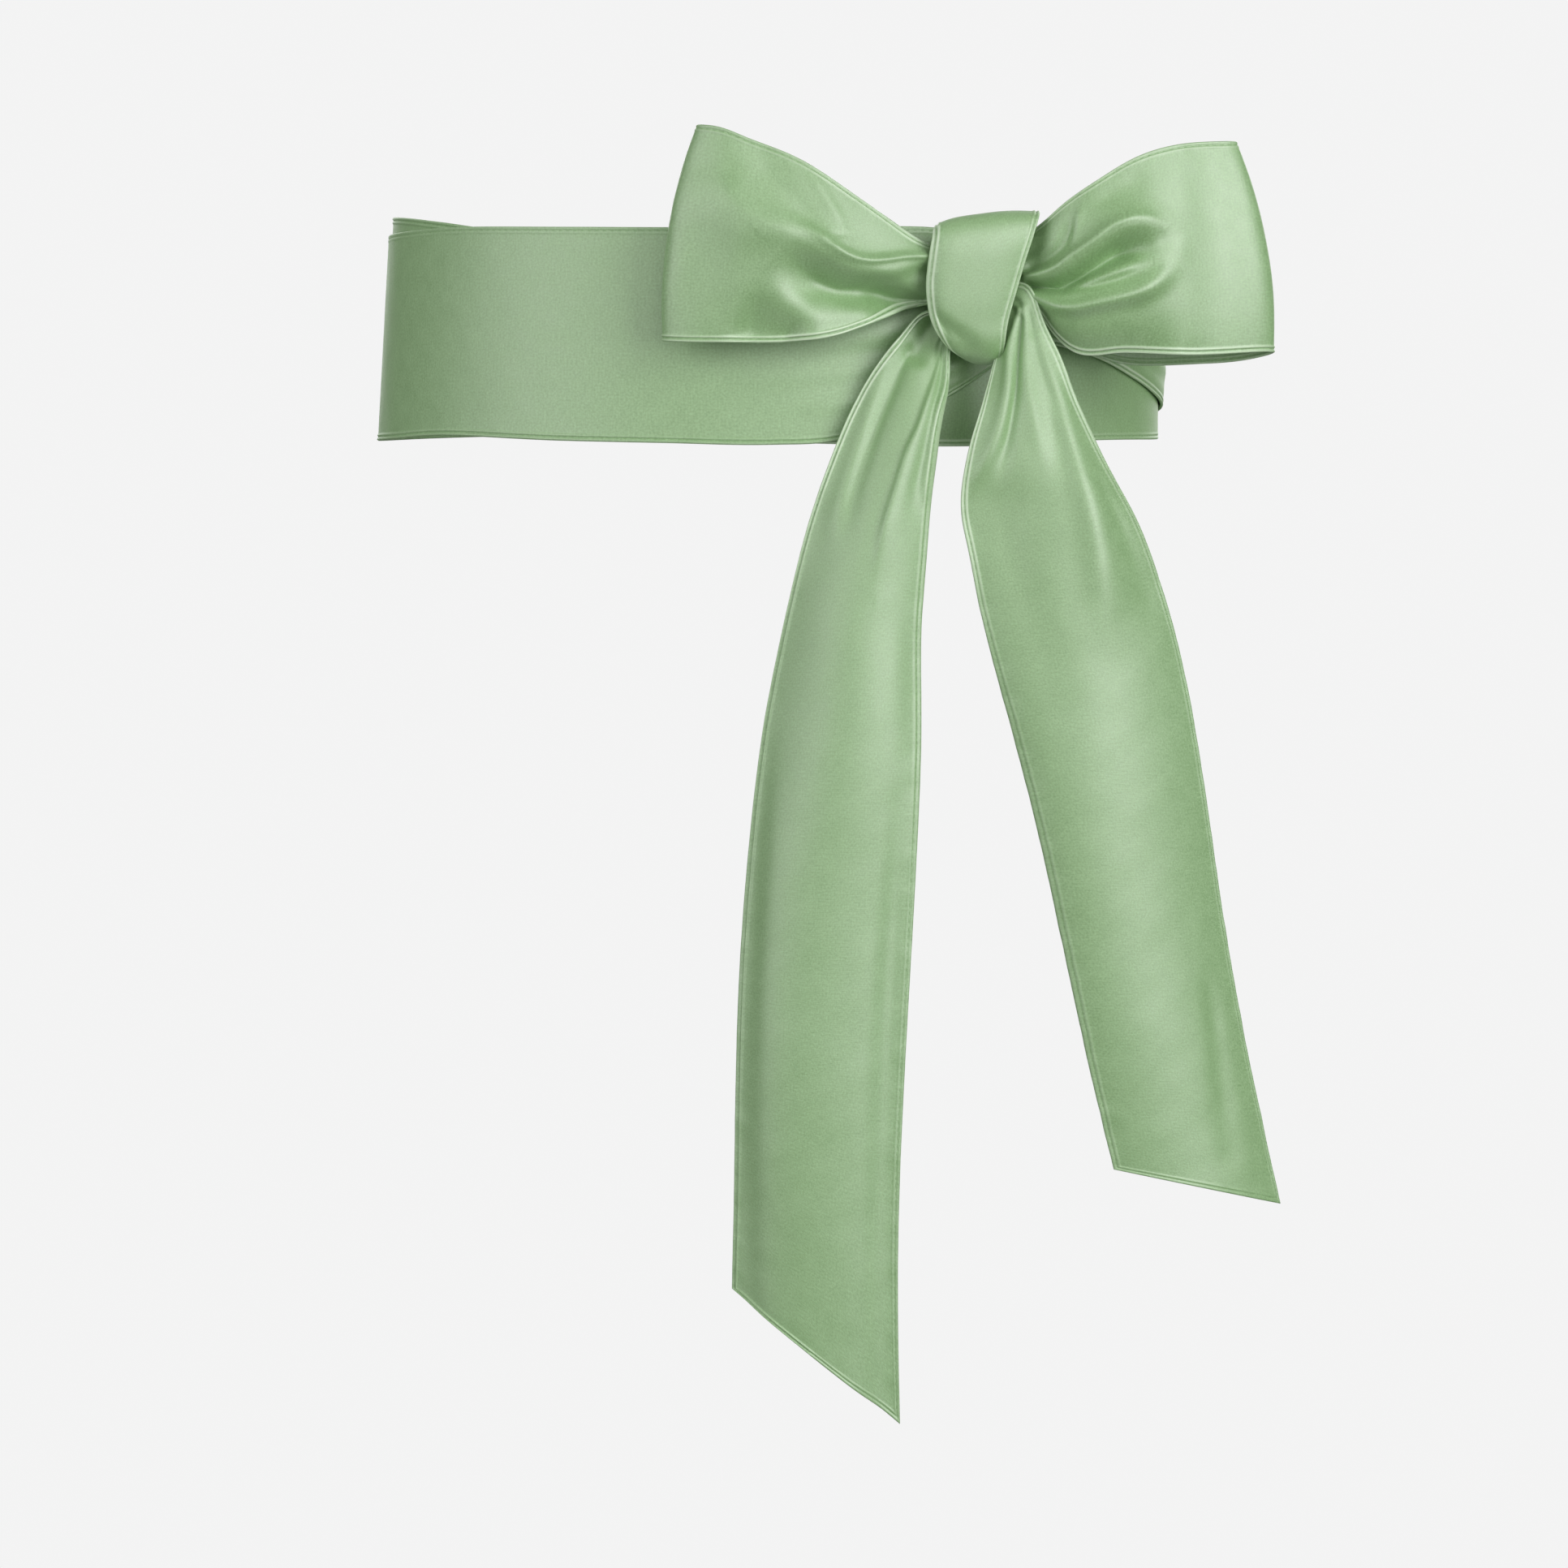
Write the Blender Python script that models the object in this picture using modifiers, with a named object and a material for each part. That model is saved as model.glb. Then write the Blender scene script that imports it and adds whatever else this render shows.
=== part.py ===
"""A satin sash, worn twice round a waist and tied in a bow with two tails.

The sash is one ribbon. Each stretch of it that shows is one object: the two turns round the
waist, the two loops of the bow, the wrap of the knot and the two tails. +Z is up, the wearer
faces -Y, and the origin is the middle of the waist opening. Every stretch is an open sheet of
points, worked out from the tables below, and a Solidify modifier gives it its wall.
"""

import bpy
import numpy as np

MM = 0.001
COLLECTION = "satin_sash"

# The ribbon and the waist it goes round, in millimetres.
RIBBON_WIDTH = 70.0
WALL = 1.0
SEAT = 0.3
WAIST_HALF_WIDTH = 130.9
WAIST_HALF_DEPTH = 98.0
WAIST_LEAN = 0.061

# The satin: base colour, roughness and metallic value.
SATIN_COLOUR = (0.30, 0.45, 0.27, 1.0)
SATIN_ROUGHNESS = 0.38
SATIN_METALLIC = 0.25


def table(columns, rows):
    """Gives each named column of a table as an array."""
    return dict(zip(columns.split(), np.array(rows, dtype=float).T))


# The turns round the waist. Angles go round from the front towards the wearer's left, in degrees.
# Low is the height of the lower edge, spread is how much of the ribbon's width lies above it, and
# gather is how far the gathers stand out.
TURN_COLUMNS = "angle low spread gather"

INNER_TURN = table(TURN_COLUMNS, [
    (0, -33.0, 0.971, 0.0),
    (27, -34.5, 0.990, 0.0),
    (52, -33.2, 0.994, 0.0),
    (85, -33.8, 0.997, 0.0),
    (130, -33.0, 1.000, 0.0),
    (180, -32.5, 1.000, 0.0),
    (230, -30.8, 1.000, 0.0),
    (270, -28.8, 1.000, 0.0),
    (291, -29.6, 0.997, 0.0),
    (303, -30.4, 0.983, 0.0),
    (318, -31.4, 0.954, 0.0),
    (335, -32.2, 0.957, 0.0),
    (360, -33.0, 0.971, 0.0),
])

OUTER_TURN = table(TURN_COLUMNS, [
    (36.8, 0.0, 0.457, 0.4),
    (44, -2.0, 0.529, 1.4),
    (53, -6.0, 0.636, 1.9),
    (65, -13.0, 0.779, 1.6),
    (78, -19.5, 0.900, 1.2),
    (90, -23.5, 0.964, 0.8),
    (115, -28.6, 0.994, 0.3),
    (145, -32.6, 1.000, 0.0),
    (180, -34.8, 1.000, 0.0),
    (225, -34.6, 0.997, 0.0),
    (270, -34.6, 0.991, 0.0),
    (291, -33.2, 0.986, 0.0),
    (304, -31.7, 0.976, 0.0),
    (330, -32.7, 0.984, 0.0),
    (345, -33.2, 0.986, 0.0),
    (360, -33.7, 0.993, 0.1),
    (368, -32.8, 0.983, 0.5),
    (376, -28.0, 0.917, 1.3),
    (385, -18.8, 0.774, 1.6),
    (393.6, -8.0, 0.557, 0.4),
])

# How many gathers lie across the outer turn, and how much closer its points lie where it has them.
GATHERS = 3
GATHER_CROWDING = 1.2

# Sections of a stretch of ribbon: the two edges and how far the cloth between them is crowned.
# Peak is where the crown is highest, from 0 at the low edge to 1 at the high edge, and sag is
# how far the middle of the section hangs below its edges.
SECTION_COLUMNS = "low_x low_y low_z high_x high_y high_z crown peak sag"

# From the neck at the front, round the tip, to the neck at the back.
LEFT_LOOP = table(SECTION_COLUMNS, [
    (61.0, -103.0, 12.5, 61.0, -103.0, 27.5, 0.0, 0.50, 0.0),
    (50.5, -105.8, 10.5, 50.5, -105.8, 30.0, 0.5, 0.50, 0.0),
    (38.0, -110.5, 7.4, 37.0, -109.5, 38.2, 2.5, 0.50, 0.0),
    (22.0, -114.5, 1.8, 23.0, -113.0, 47.9, 4.5, 0.50, 0.0),
    (5.0, -116.5, -0.8, 8.0, -115.0, 57.2, 5.0, 0.50, 0.0),
    (-14.0, -115.5, -1.0, -8.5, -114.5, 63.8, 4.0, 0.50, 0.0),
    (-28.0, -112.8, -0.9, -18.5, -112.6, 67.3, 2.5, 0.50, 0.0),
    (-34.6, -107.6, -0.6, -23.6, -107.6, 67.8, 3.9, 0.50, 0.0),
    (-28.0, -103.0, -0.4, -18.0, -103.0, 67.0, 0.8, 0.50, 0.0),
    (-10.0, -101.4, 0.2, -5.0, -101.8, 62.6, 0.0, 0.50, 0.0),
    (8.0, -101.0, 1.4, 9.5, -101.6, 56.0, 0.0, 0.50, 0.0),
    (24.0, -100.6, 4.4, 24.0, -101.2, 47.0, 0.0, 0.50, 0.0),
    (38.0, -99.8, 8.0, 37.5, -100.0, 38.4, 0.0, 0.50, 0.0),
    (50.5, -98.6, 11.0, 50.5, -98.6, 30.0, 0.0, 0.50, 0.0),
    (61.0, -97.2, 12.5, 61.0, -97.2, 27.5, 0.0, 0.50, 0.0),
])

RIGHT_LOOP = table(SECTION_COLUMNS, [
    (70.0, -101.0, 17.5, 70.0, -101.0, 32.5, 0.0, 0.50, 0.0),
    (80.0, -101.0, 15.8, 82.7, -99.3, 34.8, 0.5, 0.50, 0.0),
    (88.0, -105.5, 6.0, 92.0, -104.0, 42.4, 2.5, 0.50, 0.0),
    (97.0, -108.5, -2.4, 103.0, -106.5, 50.2, 4.5, 0.50, 0.0),
    (110.0, -109.0, -4.1, 115.5, -105.5, 57.6, 5.0, 0.45, 0.0),
    (128.0, -105.5, -4.8, 129.0, -101.5, 61.8, 4.5, 0.45, 0.0),
    (147.0, -98.0, -4.6, 141.0, -96.4, 63.0, 3.0, 0.45, 0.0),
    (161.6, -89.0, -4.4, 148.6, -91.0, 63.1, 4.0, 0.50, 0.0),
    (154.0, -83.0, -6.6, 142.5, -85.2, 62.4, 1.2, 0.50, 0.0),
    (138.0, -80.6, -8.0, 130.0, -83.2, 60.6, 0.0, 0.50, 0.0),
    (120.0, -80.8, -8.5, 117.0, -84.0, 57.4, 0.0, 0.50, 0.0),
    (106.0, -83.6, -5.8, 104.5, -86.8, 49.6, 0.0, 0.50, 0.0),
    (94.0, -88.0, 2.4, 93.5, -90.4, 41.6, 0.0, 0.50, 0.0),
    (82.0, -92.0, 14.4, 83.0, -93.4, 34.8, 0.0, 0.50, 0.0),
    (70.0, -95.0, 17.5, 70.0, -95.0, 32.5, 0.0, 0.50, 0.0),
])

# Round the bow's middle: down the front, under, up the back and over the top.
# The low edge is the one at the wearer's right.
KNOT_WRAP = table(SECTION_COLUMNS, [
    (51.0, -109.0, 31.0, 83.6, -103.5, 32.5, 5.5, 0.50, 0.0),
    (49.0, -110.0, 17.0, 78.4, -105.0, 17.0, 6.5, 0.50, 0.0),
    (50.8, -109.4, 4.5, 74.9, -105.6, 4.5, 6.0, 0.50, 0.0),
    (57.0, -106.0, -2.6, 73.6, -104.2, -4.4, 3.5, 0.50, 0.0),
    (62.0, -100.0, -6.0, 72.4, -98.0, -6.6, 1.5, 0.50, 0.0),
    (58.0, -95.2, -3.0, 75.0, -90.8, -3.0, 0.5, 0.50, 0.0),
    (52.4, -94.5, 8.0, 78.0, -85.9, 8.0, 0.0, 0.50, 0.0),
    (52.0, -94.8, 26.0, 81.0, -85.6, 26.0, 0.0, 0.50, 0.0),
    (52.4, -97.0, 33.0, 84.0, -89.4, 37.2, 0.5, 0.50, 0.0),
    (52.0, -103.0, 35.2, 85.6, -96.8, 40.4, 1.6, 0.50, 0.0),
])

# From the neck down to the slanting cut end. The low edge is the one at the wearer's right.
LEFT_TAIL = table(SECTION_COLUMNS, [
    (60.5, -101.5, 8.2, 61.5, -102.0, 0.2, 0.0, 0.50, 0.0),
    (50.4, -105.0, 9.0, 56.0, -103.4, -3.4, 0.5, 0.50, 0.0),
    (41.2, -108.0, 4.4, 55.7, -106.4, -13.0, 1.5, 0.50, 0.0),
    (32.0, -108.5, -8.2, 54.9, -108.5, -21.4, 2.5, 0.50, 0.0),
    (24.2, -108.5, -23.6, 53.6, -109.5, -30.5, 4.0, 0.55, 0.0),
    (18.9, -108.2, -36.0, 52.3, -110.2, -40.0, 5.5, 0.55, 0.0),
    (13.0, -108.0, -54.0, 50.5, -111.5, -54.5, 8.0, 0.55, 0.0),
    (8.4, -107.5, -70.5, 49.2, -113.0, -70.5, 10.0, 0.55, 0.0),
    (3.4, -107.0, -92.5, 47.6, -114.5, -92.5, 11.5, 0.55, 0.0),
    (-2.4, -107.5, -121.5, 47.6, -116.0, -121.5, 12.5, 0.55, 0.0),
    (-7.2, -108.5, -160.5, 46.4, -118.0, -160.5, 13.0, 0.55, 0.0),
    (-10.2, -110.0, -200.0, 44.2, -119.5, -202.0, 12.5, 0.55, 0.0),
    (-11.6, -112.0, -240.0, 41.8, -121.0, -248.0, 11.5, 0.55, 0.8),
    (-12.2, -113.5, -275.0, 40.4, -122.0, -298.0, 10.5, 0.55, 1.8),
    (-12.9, -114.5, -306.0, 41.2, -122.5, -349.4, 9.5, 0.55, 2.6),
])

RIGHT_TAIL = table(SECTION_COLUMNS, [
    (70.6, -99.8, -2.0, 70.6, -99.8, 8.6, 0.0, 0.50, 0.0),
    (74.6, -101.7, -3.8, 79.0, -99.6, 12.6, 0.5, 0.50, 0.0),
    (71.0, -106.0, -13.0, 86.0, -104.0, 4.6, 1.5, 0.50, 0.0),
    (66.9, -108.2, -21.2, 91.6, -106.0, -5.0, 3.0, 0.50, 0.0),
    (63.9, -109.6, -30.4, 96.4, -106.6, -16.6, 4.5, 0.50, 0.0),
    (61.5, -110.6, -40.4, 101.8, -106.2, -28.8, 6.0, 0.55, 0.0),
    (60.2, -111.4, -52.4, 108.2, -104.6, -41.6, 8.0, 0.60, 0.0),
    (62.4, -112.0, -66.0, 116.2, -102.0, -56.0, 9.5, 0.60, 0.0),
    (65.9, -112.2, -83.5, 124.4, -98.6, -76.0, 10.5, 0.62, 0.0),
    (71.9, -112.4, -107.0, 131.6, -95.6, -100.0, 11.0, 0.62, 0.0),
    (82.3, -112.0, -145.3, 140.2, -92.4, -143.6, 11.0, 0.62, 0.0),
    (93.2, -111.0, -192.5, 147.6, -89.6, -190.0, 10.5, 0.60, 0.0),
    (101.9, -109.8, -232.0, 155.4, -87.4, -231.0, 10.0, 0.60, 0.0),
    (110.7, -108.4, -267.8, 167.2, -85.4, -283.3, 9.0, 0.60, 0.0),
])

# The pleats at the necks: how many lie across the ribbon, how deep they are in millimetres and
# how far out of the neck they have run out, as a share of the stretch's length.
PLEATS = {
    "left_loop": (2.5, 1.5, 0.22),
    "right_loop": (2.5, 1.5, 0.24),
    "left_tail": (2.0, 1.2, 0.30),
    "right_tail": (2.5, 1.3, 0.34),
}

# The largest folds, seen from the front: the path's start, bend and end, its half width at the
# start and at the end, and how far it stands out of the cloth (less than 0 is a trough).
FOLD_COLUMNS = "start_x start_z bend_x bend_z end_x end_z width_start width_end height"
FOLD_START = 0.15
FOLD_FULLNESS = 1.3

LEFT_LOOP_FOLDS = table(FOLD_COLUMNS, [
    (45.0, 24.5, 18.0, 27.0, 4.0, 36.0, 3.5, 5.5, 2.6),
    (47.0, 25.0, 20.0, 15.0, 0.0, 30.5, 4.0, 5.0, -2.6),
    (44.0, 16.0, 22.0, 11.5, 2.0, 23.0, 3.5, 5.0, 2.0),
])

RIGHT_LOOP_FOLDS = table(FOLD_COLUMNS, [
    (83.0, 20.0, 100.0, 24.0, 117.0, 39.5, 3.0, 4.0, 2.0),
    (87.0, 19.0, 106.0, 24.0, 121.0, 35.0, 3.5, 6.0, -2.4),
    (90.0, 15.5, 110.0, 18.0, 122.0, 30.0, 3.5, 5.0, 1.8),
    (83.0, 15.0, 98.0, 12.0, 110.0, 14.0, 3.0, 4.0, -1.4),
])

LEFT_TAIL_FOLDS = table(FOLD_COLUMNS, [
    (47.0, -2.0, 45.0, -40.0, 42.0, -110.0, 3.5, 8.0, -2.0),
    (36.0, -12.0, 24.0, -45.0, 16.0, -85.0, 4.0, 8.0, -1.8),
])

RIGHT_TAIL_FOLDS = table(FOLD_COLUMNS, [
    (79.0, 8.0, 78.0, -20.0, 76.0, -60.0, 3.0, 8.0, -2.0),
    (84.0, 2.0, 98.0, -50.0, 116.0, -110.0, 4.0, 9.0, 2.2),
])

# A loop's folds run on its front and have died out where its tip begins to turn, both as shares
# of the loop's length.
FRONT_SHARE = 0.40
TIP_SHARE = 0.50

# Rows of points along and across each stretch.
GRID = {
    "inner_turn": (72, 3),
    "outer_turn": (92, 9),
    "left_loop": (42, 16),
    "right_loop": (42, 16),
    "knot_wrap": (28, 8),
    "left_tail": (34, 10),
    "right_tail": (34, 10),
}


def clear_scene():
    """Removes whatever the file holds before the sash is made."""
    for item in list(bpy.data.objects):
        bpy.data.objects.remove(item, do_unlink=True)


def unit(vectors):
    """Scales each vector to a length of one."""
    return vectors / np.linalg.norm(vectors, axis=-1, keepdims=True)


def curve_through(stations, values, at, closed=False):
    """A cubic through the rows, with the slope at each row taken between its neighbours.

    A closed curve's last station is where its first row comes round again.
    """
    if closed:
        lap = stations[-1] - stations[0]
        stations = np.concatenate([[stations[-2] - lap], stations, [stations[1] + lap]])
        values = np.concatenate([values[-2:-1], values, values[1:2]])
    slopes = np.gradient(values, stations, axis=0)
    spot = np.clip(np.searchsorted(stations, at, side="right") - 1, 0, len(stations) - 2)
    span = stations[spot + 1] - stations[spot]
    f = ((at - stations[spot]) / span)[:, None]
    span = span[:, None]
    start = (1 + 2 * f) * (1 - f) ** 2 * values[spot] + f * (1 - f) ** 2 * span * slopes[spot]
    end = f * f * (3 - 2 * f) * values[spot + 1] + f * f * (f - 1) * span * slopes[spot + 1]
    return start + end


def fade(x, reach):
    """One at zero, falling smoothly to nothing at the reach."""
    f = np.clip(1 - x / reach, 0, 1)
    return f * f * (3 - 2 * f)


def fold_height(points, folds):
    """How far the folds lift each point, by its distance from each fold's path seen from the front.

    A path is a quadratic curve through its start and end, drawn towards its bend. Across the path
    the lift falls off as a bell. Along it the fold starts at half its height, is full through its
    middle and dies at its end.
    """
    flat = points[..., [0, 2]].reshape(-1, 1, 2)
    lift = np.zeros(len(flat))
    steps = np.linspace(0, 1, 13)[:, None]
    for i in range(len(folds["height"])):
        start, bend, end = (np.array([folds[name + "_x"][i], folds[name + "_z"][i]])
                            for name in ("start", "bend", "end"))
        path = (1 - steps) ** 2 * start + 2 * steps * (1 - steps) * bend + steps ** 2 * end
        legs = np.diff(path, axis=0)
        along = np.clip(((flat - path[:-1]) * legs).sum(-1) / (legs ** 2).sum(-1), 0, 1)
        distance = np.linalg.norm(flat - path[:-1] - along[..., None] * legs, axis=-1)
        nearest = distance.argmin(axis=1)
        rows = np.arange(len(flat))
        share = (nearest + along[rows, nearest]) / len(legs)
        width = folds["width_start"][i] + share * (folds["width_end"][i] - folds["width_start"][i])
        strength = np.minimum(1, FOLD_FULLNESS * np.sin(np.pi * (FOLD_START + (1 - FOLD_START) * share)))
        lift += folds["height"][i] * strength * np.exp(-(distance[rows, nearest] / width) ** 2)
    return lift.reshape(points.shape[:2])


def ribbon(sections, rows, columns, outward=1, necks=1, closed=False, pleats=None, folds=None):
    """A stretch of ribbon through its sections, as a grid of points.

    Each section is a straight line between its two edges. The grid is that ruled surface, moved
    out along its own normal by the crown, the pleats at the necks and the folds on its front.
    """
    edges = np.stack([sections[name] for name in SECTION_COLUMNS.split()], axis=1)
    if closed:
        edges = np.concatenate([edges, edges[:1]])
    middle = (edges[:, 0:3] + edges[:, 3:6]) / 2
    stations = np.concatenate([[0], np.cumsum(np.linalg.norm(np.diff(middle, axis=0), axis=1))])
    stations /= stations[-1]
    s = np.linspace(0, 1, rows + 1)
    row = curve_through(stations, edges, s, closed)
    t = np.linspace(0, 1, columns + 1)[None, :, None]
    points = row[:, None, 0:3] * (1 - t) + row[:, None, 3:6] * t
    if closed:
        wrapped = np.concatenate([points[-2:-1], points, points[1:2]])
        along = np.gradient(wrapped, axis=0)[1:-1]
    else:
        along = np.gradient(points, axis=0)
    normal = outward * unit(np.cross(along, np.gradient(points, axis=1)))
    share = t[..., 0] ** (np.log(0.5) / np.log(row[:, 7:8]))
    lift = row[:, 6:7] * 4 * share * (1 - share)
    points[..., 2] -= row[:, 8:9] * 4 * (t * (1 - t))[..., 0]
    if pleats:
        count, depth, reach = pleats
        from_neck = np.minimum(s, 1 - s) if necks == 2 else s
        wave = np.cos(2 * np.pi * count * t[..., 0])
        lift = lift + depth * fade(from_neck, reach)[:, None] * wave
    if folds:
        past_front = np.clip(s - FRONT_SHARE, 0, 1) if necks == 2 else 0 * s
        front = fade(past_front, TIP_SHARE - FRONT_SHARE)
        lift = lift + front[:, None] * fold_height(points, folds)
    points = points + normal * lift[..., None]
    return points[:-1] if closed else points


def waist_points(angle, height, stand_off):
    """Points round the waist, an ellipse that leans out towards the hip at the wearer's right."""
    lean = -WAIST_LEAN * height * (1 - np.sin(angle)) / 2
    x = (WAIST_HALF_WIDTH + stand_off + lean) * np.sin(angle)
    y = -(WAIST_HALF_DEPTH + stand_off + lean) * np.cos(angle)
    return np.stack([x, y, height], axis=-1)


def turn(sections, rows, columns, stand_off, closed=False):
    """A turn round the waist between its two edges, with its gathers as waves across it.

    The rows of points lie closer together where the gathers are deep.
    """
    edges = np.stack([sections[name] for name in TURN_COLUMNS.split()], axis=1)
    stations = edges[:, 0]
    fine = np.linspace(stations[0], stations[-1], 721)
    gather = np.clip(curve_through(stations, edges, fine, closed)[:, 3], 0, 1)
    crowding = 1 + GATHER_CROWDING * gather
    walked = np.concatenate([[0], np.cumsum((crowding[1:] + crowding[:-1]) / 2)])
    at = np.interp(np.linspace(0, walked[-1], rows + 1), walked, fine)
    row = curve_through(stations, edges, at, closed)
    t = np.linspace(0, 1, columns + 1)[None, :]
    height = row[:, 1:2] + row[:, 2:3] * RIBBON_WIDTH * t
    wave = (1 - np.cos(2 * np.pi * GATHERS * t)) / 2
    stand = stand_off + np.clip(row[:, 3:4], 0, None) * wave
    angle = np.radians(at)[:, None] + 0 * t
    points = waist_points(angle, height, stand)
    return points[:-1] if closed else points


def satin(name):
    """The satin of one stretch."""
    material = bpy.data.materials.new(name)
    material.use_nodes = True
    shader = material.node_tree.nodes["Principled BSDF"]
    shader.inputs["Base Color"].default_value = SATIN_COLOUR
    shader.inputs["Roughness"].default_value = SATIN_ROUGHNESS
    shader.inputs["Metallic"].default_value = SATIN_METALLIC
    return material


def cloth(name, points, collection, closed=False):
    """Makes one object from a grid of points in millimetres, with its wall half on each side."""
    rows, columns = points.shape[:2]
    index = np.arange(rows * columns).reshape(rows, columns)
    if closed:
        index = np.concatenate([index, index[:1]])
    faces = np.stack([index[:-1, :-1], index[1:, :-1], index[1:, 1:], index[:-1, 1:]], axis=-1)
    mesh = bpy.data.meshes.new(name)
    mesh.from_pydata((points.reshape(-1, 3) * MM).tolist(), [], faces.reshape(-1, 4).tolist())
    mesh.shade_smooth()
    mesh.materials.append(satin(name + "_satin"))
    piece = bpy.data.objects.new(name, mesh)
    collection.objects.link(piece)
    wall = piece.modifiers.new("wall", "SOLIDIFY")
    wall.thickness = WALL * MM
    wall.offset = 0.0
    wall.use_even_offset = True
    return piece


def build_turns(collection):
    """The two turns round the waist, the outer one just off the inner one."""
    inner = turn(INNER_TURN, *GRID["inner_turn"], WALL / 2, closed=True)
    outer = turn(OUTER_TURN, *GRID["outer_turn"], WALL / 2 + WALL + SEAT)
    cloth("inner_turn", inner, collection, closed=True)
    cloth("outer_turn", outer, collection)


def build_bow(collection):
    """The two loops and the wrap that holds their necks."""
    for name, sections, outward, folds in (("left_loop", LEFT_LOOP, -1, LEFT_LOOP_FOLDS),
                                           ("right_loop", RIGHT_LOOP, 1, RIGHT_LOOP_FOLDS)):
        points = ribbon(sections, *GRID[name], outward, 2, pleats=PLEATS[name], folds=folds)
        cloth(name, points, collection)
    cloth("knot_wrap", ribbon(KNOT_WRAP, *GRID["knot_wrap"], closed=True), collection, closed=True)


def build_tails(collection):
    """The two tails that hang from the knot."""
    for name, sections, folds in (("left_tail", LEFT_TAIL, LEFT_TAIL_FOLDS),
                                  ("right_tail", RIGHT_TAIL, RIGHT_TAIL_FOLDS)):
        points = ribbon(sections, *GRID[name], pleats=PLEATS[name], folds=folds)
        cloth(name, points, collection)


def build_sash():
    """Makes the whole sash in its own collection."""
    clear_scene()
    collection = bpy.data.collections.new(COLLECTION)
    bpy.context.scene.collection.children.link(collection)
    build_turns(collection)
    build_bow(collection)
    build_tails(collection)


build_sash()
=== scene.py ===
"""The looks of a satin sash, worn twice round a waist and tied in a bow with two tails.

The sash is one ribbon. Each stretch of it that shows is one thin sheet of cloth, on the form of
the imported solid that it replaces, with its hems, pleats and folds. Sizes are in millimetres until
a mesh is made. +Z is up, the wearer faces -Y, and the origin is the middle of the waist opening.
"""

import bpy
import numpy as np
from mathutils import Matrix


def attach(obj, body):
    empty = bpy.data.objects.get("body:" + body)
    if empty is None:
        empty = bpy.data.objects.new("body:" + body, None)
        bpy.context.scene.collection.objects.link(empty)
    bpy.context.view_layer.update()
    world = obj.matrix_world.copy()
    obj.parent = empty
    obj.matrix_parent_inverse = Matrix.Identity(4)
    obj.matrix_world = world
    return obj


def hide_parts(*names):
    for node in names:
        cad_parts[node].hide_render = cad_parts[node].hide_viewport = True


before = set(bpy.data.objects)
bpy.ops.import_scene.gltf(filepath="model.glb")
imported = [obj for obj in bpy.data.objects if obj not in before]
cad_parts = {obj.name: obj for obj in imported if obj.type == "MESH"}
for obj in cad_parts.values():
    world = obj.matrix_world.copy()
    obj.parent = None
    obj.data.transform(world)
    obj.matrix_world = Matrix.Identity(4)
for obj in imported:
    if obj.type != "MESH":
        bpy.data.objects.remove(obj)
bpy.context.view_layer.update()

MM = 0.001

# The ribbon and the waist it goes round.
RIBBON_WIDTH = 70.0
SOLID_WALL = 1.0
SEAT = 0.3
WAIST_HALF_WIDTH = 130.9
WAIST_HALF_DEPTH = 98.0
WAIST_LEAN = 0.061


def table(columns, rows):
    """Gives each named column of a table as an array."""
    return dict(zip(columns.split(), np.array(rows, dtype=float).T))


# Half the cloth's thickness by distance in from a hemmed edge: the hem's rolled edge, the groove
# that its row of stitches pulls in, its inner edge, and the single cloth.
HEM_PROFILE = table("inset half", [
    (0.00, 0.08),
    (0.15, 0.30),
    (0.45, 0.42),
    (0.80, 0.36),
    (1.10, 0.13),
    (1.30, 0.13),
    (1.60, 0.34),
    (1.85, 0.38),
    (2.10, 0.32),
    (2.40, 0.18),
    (3.00, 0.17),
])
HEM_ZONE = 3.0
HEM_FULLNESS = {
    "inner_turn": (0.8, 1.4),
    "outer_turn": (1.6, 0.6),
    "left_loop": (2.0, 0.9),
    "right_loop": (1.6, 0.9),
    "knot_wrap": (1.2, 1.6),
    "left_tail": (2.2, 0.8),
    "right_tail": (0.8, 0.8),
}
HEM_LARGEST_SHARE = 0.12
STITCH_INSET = 1.2
CLOTH_HALF = 0.17


# The turns round the waist. Angles go round from the front towards the wearer's left, in degrees.
# Low is the height of the lower edge, spread is how much of the ribbon's width lies above it, and
# gather is how far the gathers stand out.
TURN_COLUMNS = "angle low spread gather"

INNER_TURN = table(TURN_COLUMNS, [
    (0, -33.0, 0.971, 0.0),
    (27, -34.5, 0.990, 0.0),
    (52, -33.2, 0.994, 0.0),
    (85, -33.8, 0.997, 0.0),
    (130, -33.0, 1.000, 0.0),
    (180, -32.5, 1.000, 0.0),
    (230, -30.8, 1.000, 0.0),
    (270, -28.8, 1.000, 0.0),
    (291, -29.6, 0.997, 0.0),
    (303, -30.4, 0.983, 0.0),
    (318, -31.4, 0.954, 0.0),
    (335, -32.2, 0.957, 0.0),
    (360, -33.0, 0.971, 0.0),
])

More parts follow.
